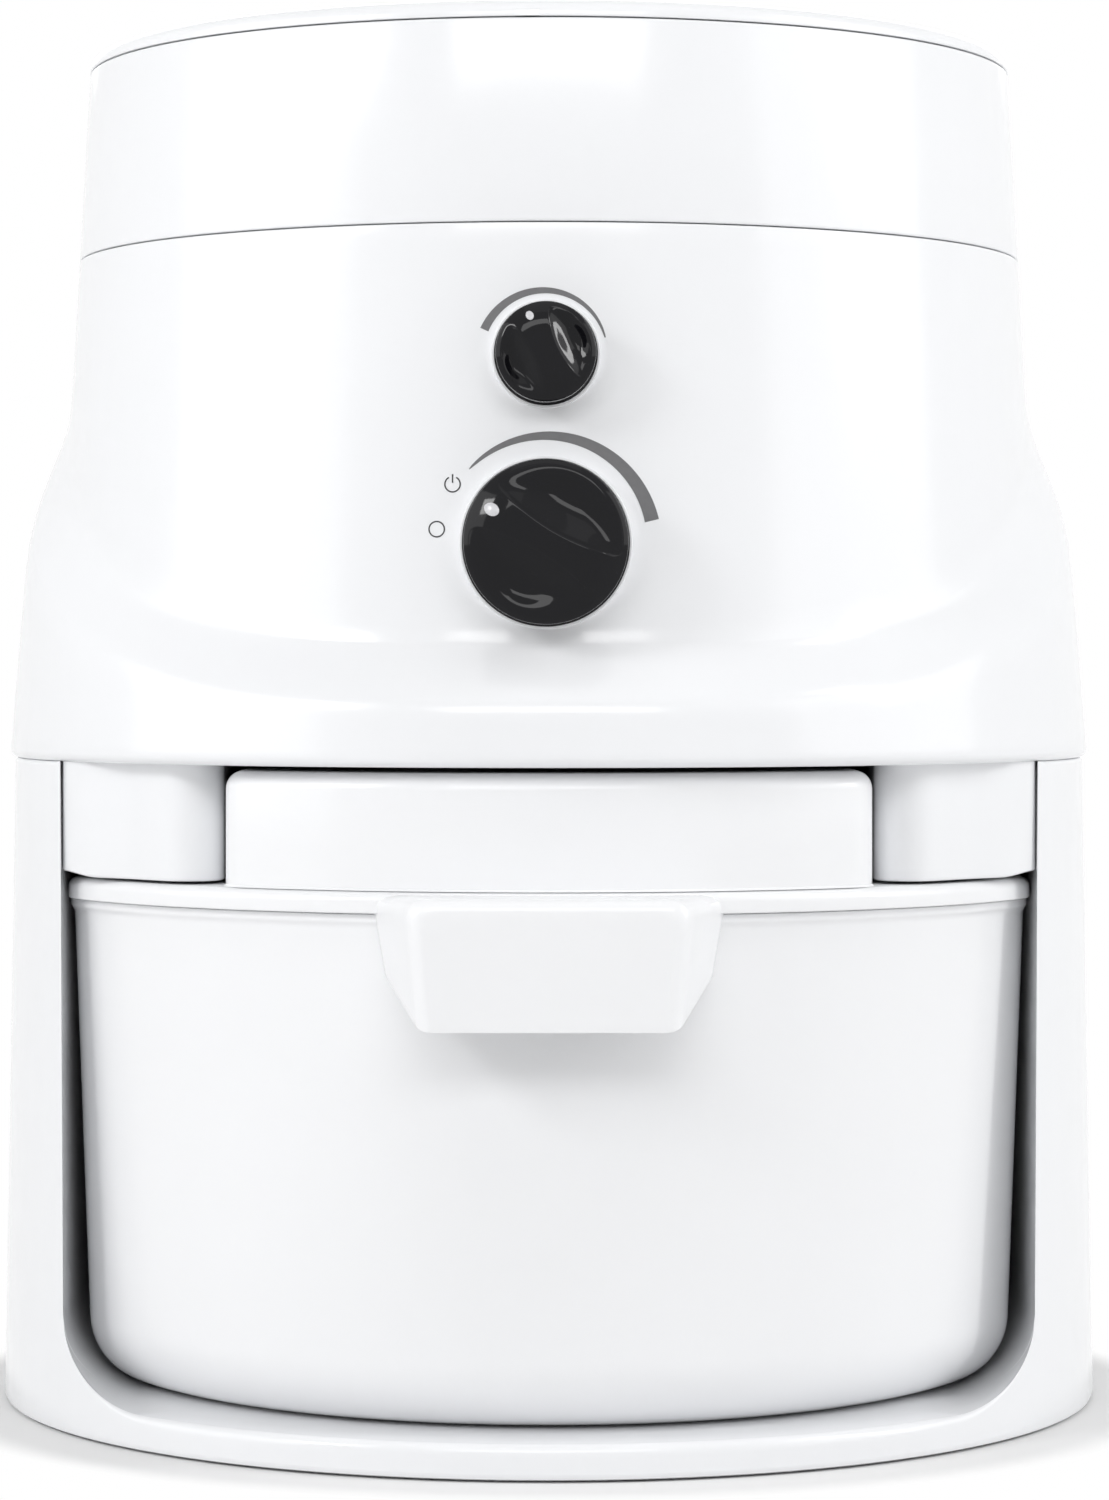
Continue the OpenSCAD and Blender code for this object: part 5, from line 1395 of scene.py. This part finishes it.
@dataclass
class BowlLid:
    """Lid of the bowl: a stepped flange with the separator's tower on it."""

    flange_a: float = 116.6
    flange_front: float = 138.4
    flange_back: float = 98.8
    nose_in: float = 0.05
    plug_in: float = 5.8
    plug_h: float = 4.0
    inside: float = 8.4
    round_in: float = 2.8
    round_h: float = 2.3
    tower_half: float = 74.7
    tower_r: float = 4.2
    tower_corner: float = 5.0
    tower_in: float = 2.0
    outlet_y: float = -10.0
    outlet_r: float = 12.0
    outlet_deep: float = 16.0
    slot_y: float = 60.0
    slot_half: tuple = (18.2, 1.5)
    slot_pitch: float = 8.0
    slot_deep: float = 4.0
    over: float = 5.0

    def build_flange(self) -> bpy.types.Object:
        """Stacks plans for the flange: plug, underside, upright nose and rounded upper edge.

        Returns:
            The finished piece.
        """
        plan = plan_line(self.flange_a, self.flange_front, self.flange_back)
        q = np.linspace(0.0, np.pi / 2, 10)[:, None]
        over_z = LEVEL.flange - self.round_h * (1.0 - np.sin(q))
        over = np.concatenate([over_z, self.nose_in + self.round_in * (1.0 - np.cos(q))], -1)
        end = LEVEL.rim - self.plug_h
        line = np.array([
            [end, self.inside], [end, self.plug_in], [LEVEL.rim, self.plug_in],
            [LEVEL.rim + 0.12, self.nose_in], [LEVEL.flange - self.round_h - 0.4, self.nose_in],
        ])
        under = eased(line, np.array([0, .4, .2, .5, 0]), 7)
        profile = np.concatenate([under, over, [[LEVEL.flange, self.inside]]])
        rows = raised(moved_in(plan, profile[:, 1]), profile[:, 0])
        skin = Skin()
        skin.closed(rows)
        return skin.build("bowl_lid_flange", "drawer")

    def tower_plan(self, inset: float) -> np.ndarray:
        """Plan of the tower: the flange's plan between two straight sides, corners eased.

        In front y = -f (1 - (k x / f)^2)^(1/2), behind y = b (1 - (x / a)^4)^(1/4).

        Args:
            inset: Distance in from the tower's walls.

        Returns:
            Points x 2, anticlockwise.
        """
        front = self.flange_front - self.tower_in - inset
        back = self.flange_back - self.tower_in - inset
        a = self.flange_a - self.tower_in - inset
        half = self.tower_half - inset
        reach = max(self.tower_corner - inset, 0.2)
        x = np.linspace(-1.0, 1.0, 81) * (half - reach)
        q = np.linspace(0.0, 1.0, 9)[1:-1, None]

        def front_y(x: np.ndarray) -> np.ndarray:
            """The front line."""
            return -front * np.sqrt(1.0 - (FRONT_RATIO * x / front) ** 2)

        def back_y(x: np.ndarray) -> np.ndarray:
            """The back line."""
            return back * (1.0 - (x / a) ** 4) ** 0.25

        def corner(line: np.ndarray, tip: np.ndarray, way: float) -> np.ndarray:
            """Quadratic curve from the end of a line round a corner to the side."""
            side = tip - (0.0, way * reach)
            return (1 - q) ** 2 * line + 2 * q * (1 - q) * tip + q**2 * side

        front_line = np.stack([x, front_y(x)], -1)
        back_line = np.stack([-x, back_y(x)], -1)
        near, far = front_y(half), back_y(half)
        tips = np.array([[half, near], [half, far], [-half, far], [-half, near]])
        return np.concatenate([
            front_line,
            corner(front_line[-1], tips[0], -1.0),
            corner(back_line[0], tips[1], 1.0)[::-1],
            back_line,
            corner(back_line[-1], tips[2], 1.0),
            corner(front_line[0], tips[3], -1.0)[::-1],
        ])

    def build_tower(self) -> bpy.types.Object:
        """Stacks plans for the tower's walls, rounds its upper edge and cuts its openings.

        Returns:
            The finished piece.
        """
        q = np.linspace(0.0, np.pi / 2, 9)
        r = self.tower_r
        high = LEVEL.tower
        z = np.concatenate([LEVEL.flange + np.array([0.01, 0.6, 9.0]), high - r * (1 - np.sin(q))])
        away = np.concatenate([[-0.6, 0.0, 0.0], r * (1 - np.cos(q))])
        outer = raised(np.stack([self.tower_plan(inset) for inset in away]), z)
        skin = Skin()
        skin.closed(outer)
        piece = skin.build("bowl_lid_tower", "drawer")
        cutter = Skin()
        t = np.linspace(0.0, 2 * np.pi, 72, endpoint=False)
        hole = np.stack([self.outlet_r * np.cos(t), self.outlet_y + self.outlet_r * np.sin(t)], -1)
        above = high + self.over
        cutter.closed(raised(np.stack([hole, hole]), np.array([high - self.outlet_deep, above])))
        for k in range(-2, 3):
            line = slot_line((0.0, self.slot_y + k * self.slot_pitch), self.slot_half)
            cutter.closed(raised(np.stack([line, line]), np.array([high - self.slot_deep, above])))
        cut(piece, cutter)
        return piece

    def dress(self, flange: bpy.types.Object, tower: bpy.types.Object) -> None:
        """Finishes flange and tower in the bowl's white.

        Args:
            flange: The flange.
            tower: The tower.
        """
        for piece in (flange, tower):
            dress(piece, BOWL_WHITE)
        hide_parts("bowl_lid")


@dataclass
class BowlHandle:
    """Hollow pull handle, open below, that widens and lifts towards the bowl."""

    half_top: float = 31.0
    half_low: float = 28.5
    flare: float = 6.0
    rise: float = 7.0
    edge_r: float = 3.0
    height: float = 29.4
    front: float = 155.0
    out: float = 16.55
    wall: float = 3.0
    drop: float = 0.7
    corner: float = 5.0
    corner_points: int = 14
    columns: int = 61
    into: float = 9.0
    lip_r: float = 0.6

    def outline(self, low: float, top: float) -> np.ndarray:
        """Front outline, an upturned U: up the left side, over the top and down the right.

        Args:
            low: Height of the lower edge.
            top: Height of the upper edge.

        Returns:
            Points x 2, evenly spaced.
        """
        right = [[self.half_top, top], [self.half_low, low]]
        line = np.array([[-self.half_low, low], [-self.half_top, top], *right])
        return even(eased(line, self.corner, self.corner_points), self.columns)

    def build(self) -> bpy.types.Object:
        """Nests the outline on the front face, rounds it over and carries it back to the bowl.

        A row is the outline shrunk by an inset about the middle of its lower edge. Behind the
        front edge it moves back in y, while its sides spread by flare and its lower edge lifts by
        rise over the depth of the handle.

        Returns:
            The finished piece.
        """
        top = LEVEL.flange - self.drop
        low = top - self.height
        line = self.outline(low, top)
        middle = np.array([0.0, low])
        r = self.edge_r
        shrink = np.linspace(0.0, 1.0, 12)[:-1]
        q = np.linspace(0.0, np.pi / 2, 8)
        depth = np.linspace(r, self.out + self.into, 14)[1:]
        away = np.concatenate([np.full(11, r), r * (1 - np.sin(q)), 0.0 * depth])
        grow = np.concatenate([shrink, np.ones(8 + len(depth))])
        y = -self.front + np.concatenate([0.0 * shrink, r * (1 - np.cos(q)), depth])
        share = np.clip((y + self.front) / self.out, 0.0, None)[:, None]
        size = (line[None] - middle) * grow[:, None, None] + middle
        factor = 1.0 - away[:, None] / self.half_top * np.sign(np.abs(size[..., 0]))
        spread = self.flare * share * np.abs(size[..., 0]) / self.half_top
        x = size[..., 0] * factor + np.sign(line[None, :, 0]) * spread
        up = (size[..., 1] - low) / (top - low)
        z = low + (size[..., 1] - low) * (1.0 - away[:, None] / (top - low))
        z = z + self.rise * share * (1.0 - up)
        skin = Skin()
        skin.grid(np.stack([x, y[:, None] + 0.0 * x, z], -1))
        piece = skin.build("bowl_handle_skin", "drawer")
        solid = piece.modifiers.new("wall", "SOLIDIFY")
        solid.thickness, solid.offset, solid.use_even_offset = self.wall * MM, -1.0, True
        bevel = piece.modifiers.new("lip", "BEVEL")
        bevel.width, bevel.segments = self.lip_r * MM, 3
        bevel.limit_method, bevel.angle_limit = "ANGLE", math.radians(50)
        return piece

    def dress(self, piece: bpy.types.Object) -> None:
        """Finishes the handle in the bowl's white.

        Args:
            piece: The handle.
        """
        dress(piece, BOWL_WHITE)
        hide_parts("bowl_handle")


@dataclass
class Dial:
    """Dial with a waisted bar between two scoops, in a rim."""

    node: str
    body: str
    x: float
    z: float
    seat: float
    r: float
    deep: float
    bar_end: float
    rest: float
    dot: float
    matt: int
    bar_w: float = 5.5
    rim: float = 1.6
    gap: float = 0.4
    floor: float = 0.7
    edge: float = 0.5
    dot_at: float = 0.74
    fall: float = 0.235
    level: float = 0.42
    lean: float = 0.14
    brim: float = 0.45
    brim_r: float = 0.5
    crease: float = 50.0
    # rings of a scoop: size as a share of its outline, and how much of the depth is lost there
    rings: tuple = (
        (0.0, 0.0), (0.2, 0.03), (0.35, 0.12), (0.45, 0.23),
        (0.6, 0.43), (0.75, 0.64), (0.87, 0.81), (0.94, 0.9),
    )

    @property
    def face_r(self) -> float:
        """Radius of the face inside its rounded edge."""
        return self.r - self.brim - self.brim_r

    @property
    def face_y(self) -> float:
        """Front plane of the dial."""
        return self.seat - self.gap - self.deep

    def scoop_line(self, count: int = 120) -> np.ndarray:
        """Outline of the right scoop: arcs along the bar and along the rim, tips rounded.

        Args:
            count: Points wanted.

        Returns:
            count points x 2, evenly spaced, from the upper tip.
        """
        outer = self.r - self.rim
        waist, tip = self.bar_w / 2, self.bar_end / 2
        flare = (outer**2 + waist**2 - 2 * tip * waist) / (2 * (tip - waist))
        centre = waist + flare
        corner = np.array([tip, math.sqrt(outer**2 - tip**2)])
        along = math.asin(corner[1] / flare)
        a = np.linspace(along, -along, 81)
        bar = np.stack([centre - flare * np.cos(a), flare * np.sin(a)], -1)
        b = np.linspace(math.atan2(-corner[1], corner[0]), math.atan2(corner[1], corner[0]), 121)
        rim = outer * np.stack([np.cos(b), np.sin(b)], -1)
        reach = self.r * 0.12
        bar = bar[np.hypot(bar[:, 0] - tip, np.abs(bar[:, 1]) - corner[1]) > reach]
        rim = rim[np.hypot(rim[:, 0] - tip, np.abs(rim[:, 1]) - corner[1]) > reach]
        q = np.linspace(0.0, 1.0, 12)[:, None]
        low = corner * (1, -1)
        turns = ((bar[-1], low, rim[0]), (rim[-1], corner, bar[0]))
        tips = [(1 - q) ** 2 * p + 2 * q * (1 - q) * t + q**2 * n for p, t, n in turns]
        line = np.concatenate([bar, tips[0][1:-1], rim, tips[1][1:-1]])
        start = np.argmax(line[:, 1])
        return even(np.roll(line, -start, axis=0), count, closed=True)

    def fall_at(self, rho: np.ndarray) -> np.ndarray:
        """How far the face has fallen back at a distance from its middle.

        The middle is level; from there to the rim the fall grows with the square of the way.
        """
        way = (rho / self.r - self.level) / (1.0 - self.level)
        return self.fall * self.r * np.clip(way, 0.0, 1.0) ** 2

    def outer_line(self, inner: np.ndarray) -> np.ndarray:
        """Edge of the half disc that faces each point of the scoop's outline.

        Args:
            inner: The scoop's outline.

        Returns:
            As many points x 2.
        """
        r = self.face_r
        low = np.argmin(inner[:, 1])
        count = len(inner)
        straight = np.stack([np.zeros(low + 1), np.linspace(r, -r, low + 1)], -1)
        a = np.linspace(-np.pi / 2, np.pi / 2, count - low + 1)[1:-1]
        return np.concatenate([straight, r * np.stack([np.cos(a), np.sin(a)], -1)])

    def build(self) -> bpy.types.Object:
        """Builds each half as rings round its scoop: floor, wall, rounded edge, top, outer edge.

        A ring of the scoop is its outline shrunk towards the deepest point, which leans towards
        the rim. Turned to its rest angle about the shaft and put on its seat.

        Returns:
            The finished piece.
        """
        inner = self.scoop_line()
        outer = self.outer_line(inner)
        pivot = inner.mean(axis=0) + (self.lean * self.r, 0.0)
        share, lost = np.array(self.rings).T
        q = np.linspace(0.0, np.pi / 2, 6)[1:]
        inset = self.edge * np.concatenate([[0.3, 0.1], -(1.0 - np.cos(q))])
        nested = pivot + (inner - pivot) * share[:, None, None]
        rings = np.concatenate([nested, moved_in(inner, inset)])
        below = np.concatenate([1.0 - lost, [0.07, 0.055], 0.04 * (1.0 - np.sin(q))])
        out = smooth(np.linspace(0.0, 1.0, 9)[1:, None, None])
        flat = np.concatenate([rings, rings[-1] + (outer - rings[-1]) * out])
        fallen = self.fall_at(np.linalg.norm(flat, axis=-1))
        below = np.concatenate([below, np.zeros(len(out))])[:, None]
        drop = self.deep * (1.0 - self.floor)
        deep = fallen + below * np.maximum(drop - fallen, 0.25 * drop)
        rim_y, brim_r = float(self.fall_at(np.array(self.face_r))), self.r - self.brim
        side = np.array([
            [self.face_r, rim_y], [brim_r, rim_y + 0.35], [brim_r, self.deep - 2.2],
            [self.r, self.deep - 2.0], [self.r, self.deep], [0.0, self.deep],
        ])
        side = eased(side, np.array([0, 0.5, 0.3, 0.3, 0.4, 0]), 6)
        top = np.linspace(-np.pi / 2, np.pi / 2, len(inner) - np.argmin(inner[:, 1]) + 1)
        skin = Skin()
        turn = math.radians(self.rest)
        c, s = math.cos(turn), math.sin(turn)

        def set_down(plane: np.ndarray, inward: np.ndarray) -> np.ndarray:
            """Turns points of the dial's face to rest and puts them in front of the body.

            Args:
                plane: Points across the face.
                inward: How far back each lies.

            Returns:
                The points in the body's millimetres.
            """
            u = plane[..., 0] * c - plane[..., 1] * s
            v = plane[..., 0] * s + plane[..., 1] * c
            return np.stack([self.x + u, self.face_y + inward, self.z + v], -1)

        for sign in (1.0, -1.0):
            points = set_down(flat * (sign, 1.0), deep)
            skin.grid(points[: self.matt], wrap=True, slot=1)
            skin.grid(points[self.matt - 1 :], wrap=True)
            round_line = side[:, :1, None] * np.stack([sign * np.cos(top), np.sin(top)], -1)[None]
            skin.grid(set_down(round_line, side[:, 1:2] + 0.0 * top[None]))
        return skin.build(self.node + "_skin", self.body, self.crease)

    def build_dot(self) -> bpy.types.Object:
        """Builds the pointer: a low oval button near the bar's end.

        Returns:
            The finished piece.
        """
        q = np.linspace(0.0, np.pi / 2, 6)[:, None]
        t = np.linspace(0.0, 2 * np.pi, 32, endpoint=False)
        u = self.dot * 0.8 * np.cos(q) * np.cos(t)
        v = self.dot_at * self.r + self.dot * np.cos(q) * np.sin(t)
        u, v = np.concatenate([u[:1], u]), np.concatenate([v[:1], v])
        lift = np.concatenate([[[0.4]], -0.35 * np.sin(q)]) + self.fall_at(np.hypot(u, v))
        turn = math.radians(self.rest)
        x = self.x + u * math.cos(turn) - v * math.sin(turn)
        z = self.z + u * math.sin(turn) + v * math.cos(turn)
        skin = Skin()
        skin.closed(np.stack([x, self.face_y + lift, z], -1))
        return skin.build(self.node + "_dot", self.body)

    def dress(self, piece: bpy.types.Object, dot: bpy.types.Object) -> None:
        """Finishes the dial in polished black with matt scoops, and its pointer in pale grey, a
        painted highlight that stands in for the lamp's glow on it.

        Args:
            piece: The dial.
            dot: Its pointer.
        """
        dress(piece, DIAL_GLOSS, DIAL_SCOOP)
        dress(dot, POINTER_PAINTED_HIGHLIGHT)
        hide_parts(self.node)


@dataclass
class PanelPrint:
    """Arcs and signs printed on the housing round the dials."""

    lift: float = 0.05
    sink: float = 0.25
    points: int = 48
    speed_span: tuple = (-68.0, 74.0)
    speed_r: tuple = (15.1, 14.0)
    feed_span: tuple = (-46.0, 78.0)
    feed_r: tuple = (24.2, 24.6)
    standby_at: tuple = (-21.9, 223.8)
    off_at: tuple = (-25.5, 213.6)
    sign_r: float = 1.75
    sign_w: float = 0.32
    standby_gap: float = 28.0
    standby_bar: tuple = (0.3, 2.3)

    def ribbon(self, skin: Skin, line: np.ndarray, width: np.ndarray | float) -> None:
        """Lays a flat band of a given width along a line of x and z, closed at both ends.

        The band follows the neck: y = -oval sqrt(a(z)^2 - x^2), lifted a little off it.

        Args:
            skin: Skin that takes the band.
            line: Middle line, points x 2.
            width: Width of the band, one number or one for each point.
        """
        along = np.gradient(line, axis=0)
        across = np.stack([-along[:, 1], along[:, 0]], -1) / np.linalg.norm(along, axis=1)[:, None]
        width = np.broadcast_to(width, len(line))[:, None] / 2
        edges = [line - across * width, line + across * width]

        def on_neck(p: np.ndarray, out: float) -> np.ndarray:
            """Point on the neck's skin, a distance out from it."""
            y = -OVAL * np.sqrt(neck_a(p[:, 1]) ** 2 - p[:, 0] ** 2) - out
            return np.stack([p[:, 0], y, p[:, 1]], -1)

        low, high = edges
        sink, lift = -self.sink, self.lift
        loop = ((low, sink), (low, lift), (high, lift), (high, sink))
        skin.closed(np.stack([on_neck(*corner) for corner in loop], axis=1))

    def arc(self, centre: tuple, span: tuple, radius: tuple) -> np.ndarray:
        """Part of a circle or spiral.

        Args:
            centre: Its middle in x and z.
            span: First and last clock angle in degrees.
            radius: First and last radius.

        Returns:
            Points x 2.
        """
        t = np.radians(np.linspace(*span, self.points))
        r = np.linspace(*radius, self.points)
        return np.stack([centre[0] + r * np.sin(t), centre[1] + r * np.cos(t)], -1)

    def build_arcs(self) -> bpy.types.Object:
        """Builds the tapering arcs above the speed dial and the feed dial.

        Returns:
            The finished piece.
        """
        skin = Skin()
        grow = np.linspace(0.0, 1.0, self.points)
        speed = self.arc((DIAL_X, SPEED_Z), self.speed_span, self.speed_r)
        self.ribbon(skin, speed, 0.3 + 1.7 * (1.0 - grow) ** 0.7)
        feed = self.arc((DIAL_X, FEED_Z), self.feed_span, self.feed_r)
        self.ribbon(skin, feed, 0.2 + 3.1 * grow**0.6)
        return skin.build("dial_arcs", "mill")

    def build_signs(self) -> bpy.types.Object:
        """Builds the standby and off signs beside the feed dial.

        Returns:
            The finished piece.
        """
        skin = Skin()
        for sign, centre in ((Symbol.STANDBY, self.standby_at), (Symbol.OFF, self.off_at)):
            gap = self.standby_gap if sign is Symbol.STANDBY else 0.0
            ring = self.arc(centre, (gap, 360.0 - gap), (self.sign_r, self.sign_r))
            self.ribbon(skin, ring, self.sign_w)
            if sign is Symbol.STANDBY:
                rise = np.linspace(*self.standby_bar, 6)
                bar = np.stack([np.full(6, centre[0]), centre[1] + rise], -1)
                self.ribbon(skin, bar, self.sign_w)
        return skin.build("dial_signs", "mill")

    def dress(self, arcs: bpy.types.Object, signs: bpy.types.Object) -> None:
        """Finishes the arcs in grey ink and the signs in dark ink.

        Args:
            arcs: The arcs.
            signs: The signs.
        """
        dress(arcs, GREY_INK)
        dress(signs, DARK_INK)


@dataclass
class InnerWorks:
    """Solids that keep their shape and only take a finish."""

    frame: dict
    done: list[str] = field(default_factory=list)

    def dress(self) -> None:
        """Gives each shown solid the finish of its material slot."""
        slots = {row["node"]: row["material_slot"] for row in self.frame["record"]["subparts"]}
        for node, piece in self.frame["nodes"].items():
            if piece.hide_render:
                continue
            dress(piece, FINISHES[slots[node]])
            self.done.append(node)


@dataclass(frozen=True)
class Lamp:
    """Rectangular lamp that faces the object; places and sizes are in metres."""

    name: str
    at: tuple
    size: tuple
    power: float
    aim_z: float = 0.17

    def hang(self) -> None:
        """Hangs the lamp and turns it towards a point on the object's axis."""
        data = bpy.data.lights.new(self.name, "AREA")
        data.shape, data.energy = "RECTANGLE", self.power
        data.size, data.size_y = self.size
        lamp = bpy.data.objects.new(self.name, data)
        lamp.location = self.at
        away = np.array(self.at) - (0.0, 0.0, self.aim_z)
        tilt = math.atan2(math.hypot(away[0], away[1]), away[2])
        lamp.rotation_euler = (tilt, 0.0, math.atan2(away[0], -away[1]))
        lamp.visible_camera = False
        bpy.context.scene.collection.objects.link(lamp)


LAMPS = (
    Lamp("lamp_left", (-1.55, -0.5, 0.75), (1.5, 1.2), 8.5),
    Lamp("lamp_right", (1.6, -0.4, 0.75), (1.5, 1.2), 7.5),
    Lamp("key_left", (-1.03, -0.87, 0.86), (0.3, 0.3), 4.0),
    Lamp("key_right", (1.22, -0.3, 0.92), (0.1, 1.0), 5.0),
    Lamp("lamp_front", (0.0, -1.6, 1.0), (1.4, 0.4), 7.5),
    Lamp("lamp_top", (0.0, -0.6, 1.7), (1.4, 1.0), 1.5),
    Lamp("lamp_rear", (0.0, 1.7, 1.0), (1.8, 0.8), 5.0),
)


@dataclass
class Studio:
    """Pale floor, soft lamps, plain surroundings and the camera."""

    eye: tuple = (0.0, -1178.0, 183.9)
    pixels_per_radian: float = 4665.0
    image: tuple = (1109, 1500)
    centre: tuple = (549.0, 660.0)
    around: float = 0.34
    floor_r: tuple = (0.2, 14.0)
    floor_fade: tuple = (0.146, 0.16)
    white: Colour = (1.0, 1.0, 1.0)

    def camera(self) -> None:
        """Makes a level camera that looks along y, shifted as little as the framing needs."""
        data = bpy.data.cameras.new("camera")
        data.sensor_width = 36.0
        data.lens = self.pixels_per_radian * data.sensor_width / self.image[1]
        data.shift_x = (self.image[0] / 2 - self.centre[0]) / self.image[1]
        data.shift_y = -(self.image[1] / 2 - self.centre[1]) / self.image[1]
        eye = bpy.data.objects.new("camera", data)
        eye.location = [v * MM for v in self.eye]
        eye.rotation_euler = (math.pi / 2, 0.0, 0.0)
        bpy.context.scene.collection.objects.link(eye)
        bpy.context.scene.camera = eye

    def floor(self) -> None:
        """Lays a round floor that is white away from the object and keeps its shadow close by."""
        r = np.concatenate([[0.0], np.geomspace(*self.floor_r, 24)])[:, None]
        t = np.linspace(0.0, 2 * np.pi, 96, endpoint=False)
        points = np.stack([r * np.cos(t), r * np.sin(t), 0.0 * r + 0.0 * t], -1)
        rows, cols = points.shape[:2]
        index = np.arange(rows * cols).reshape(rows, cols)
        right = np.roll(index, -1, axis=1)
        faces = np.stack([index[:-1], index[1:], right[1:], right[:-1]], -1).reshape(-1, 4)
        mesh = bpy.data.meshes.new("floor")
        mesh.from_pydata(points.reshape(-1, 3).tolist(), [], faces.tolist())
        floor = bpy.data.objects.new("floor", mesh)
        bpy.context.scene.collection.objects.link(floor)
        g = Graph("floor_paper", Roughness=0.9)
        g.set("Base Color", g.mix(g.noise(3.0), (0.79, 0.79, 0.79), (0.81, 0.81, 0.81)))
        away = g.node("ShaderNodeVectorMath", {"operation": "LENGTH"}, {0: g.place()}, "Value")
        white = g.node("ShaderNodeEmission", inputs={"Color": self.white, "Strength": 1.0})
        share = g.seen() * g.ramp(away, *self.floor_fade)
        out = next(n for n in g.tree.nodes if n.type == "OUTPUT_MATERIAL")
        paper = Wire(g, g.shader.outputs[0])
        g.put(out.inputs["Surface"], g.cover(share, paper, white))
        mesh.materials.append(g.material)

    def world(self) -> None:
        """Makes plain surroundings that are white to the camera and in clear reflections."""
        world = bpy.data.worlds.new("surroundings")
        bpy.context.scene.world = world
        world.use_nodes = True
        g = Graph.on(world.node_tree)
        plain, white = (
            g.node("ShaderNodeBackground", inputs={"Color": self.white, "Strength": strength})
            for strength in (self.around, 1.0)
        )
        out = g.tree.nodes.new("ShaderNodeOutputWorld")
        g.put(out.inputs["Surface"], g.cover(g.seen(), plain, white))

    def build(self) -> None:
        """Sets the whole stage."""
        self.camera()
        self.floor()
        self.world()
        for lamp in LAMPS:
            lamp.hang()
        bpy.context.scene.view_settings.view_transform = "Standard"


def report(piece: bpy.types.Object) -> bpy.types.Object:
    """Logs a piece's name and its number of faces, and hands it back."""
    LOG.info("%s: %d faces", piece.name, len(piece.data.polygons))
    return piece


def main() -> None:
    """Loads the frame, then builds and dresses the sub-assemblies in order."""
    logging.basicConfig(level=logging.INFO, format="%(name)s %(message)s")
    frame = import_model()

    cradle = Cradle()
    cradle.dress(report(cradle.build()))
    housing = Housing()
    housing.dress(report(housing.build()), report(housing.build_seats()))
    rails = SideRails()
    rails.dress(report(rails.build()))
    hopper = HopperTop()
    ring, lid, tab = hopper.build_ring(), hopper.build_lid(), hopper.build_tab()
    hopper.dress(report(ring), report(lid), report(tab))
    bowl = FlourBowl()
    bowl.dress(report(bowl.build()))
    bowl_lid = BowlLid()
    bowl_lid.dress(report(bowl_lid.build_flange()), report(bowl_lid.build_tower()))
    handle = BowlHandle()
    handle.dress(report(handle.build()))
    feed = Dial("feed_knob", "feed_dial", DIAL_X, FEED_Z, FEED_Y, FEED_R,
                deep=14.0, bar_end=11.0, rest=59.5, dot=1.8, matt=8)
    speed = Dial("speed_knob", "speed_dial", DIAL_X, SPEED_Z, SPEED_Y, SPEED_R,
                 deep=11.0, bar_end=9.4, rest=24.5, dot=1.1, matt=4)
    for dial in (feed, speed):
        dial.dress(report(dial.build()), report(dial.build_dot()))
    prints = PanelPrint()
    prints.dress(report(prints.build_arcs()), report(prints.build_signs()))
    inner = InnerWorks(frame)
    inner.dress()
    LOG.info("%d solids dressed", len(inner.done))
    Studio().build()


if __name__ == "__main__":
    main()
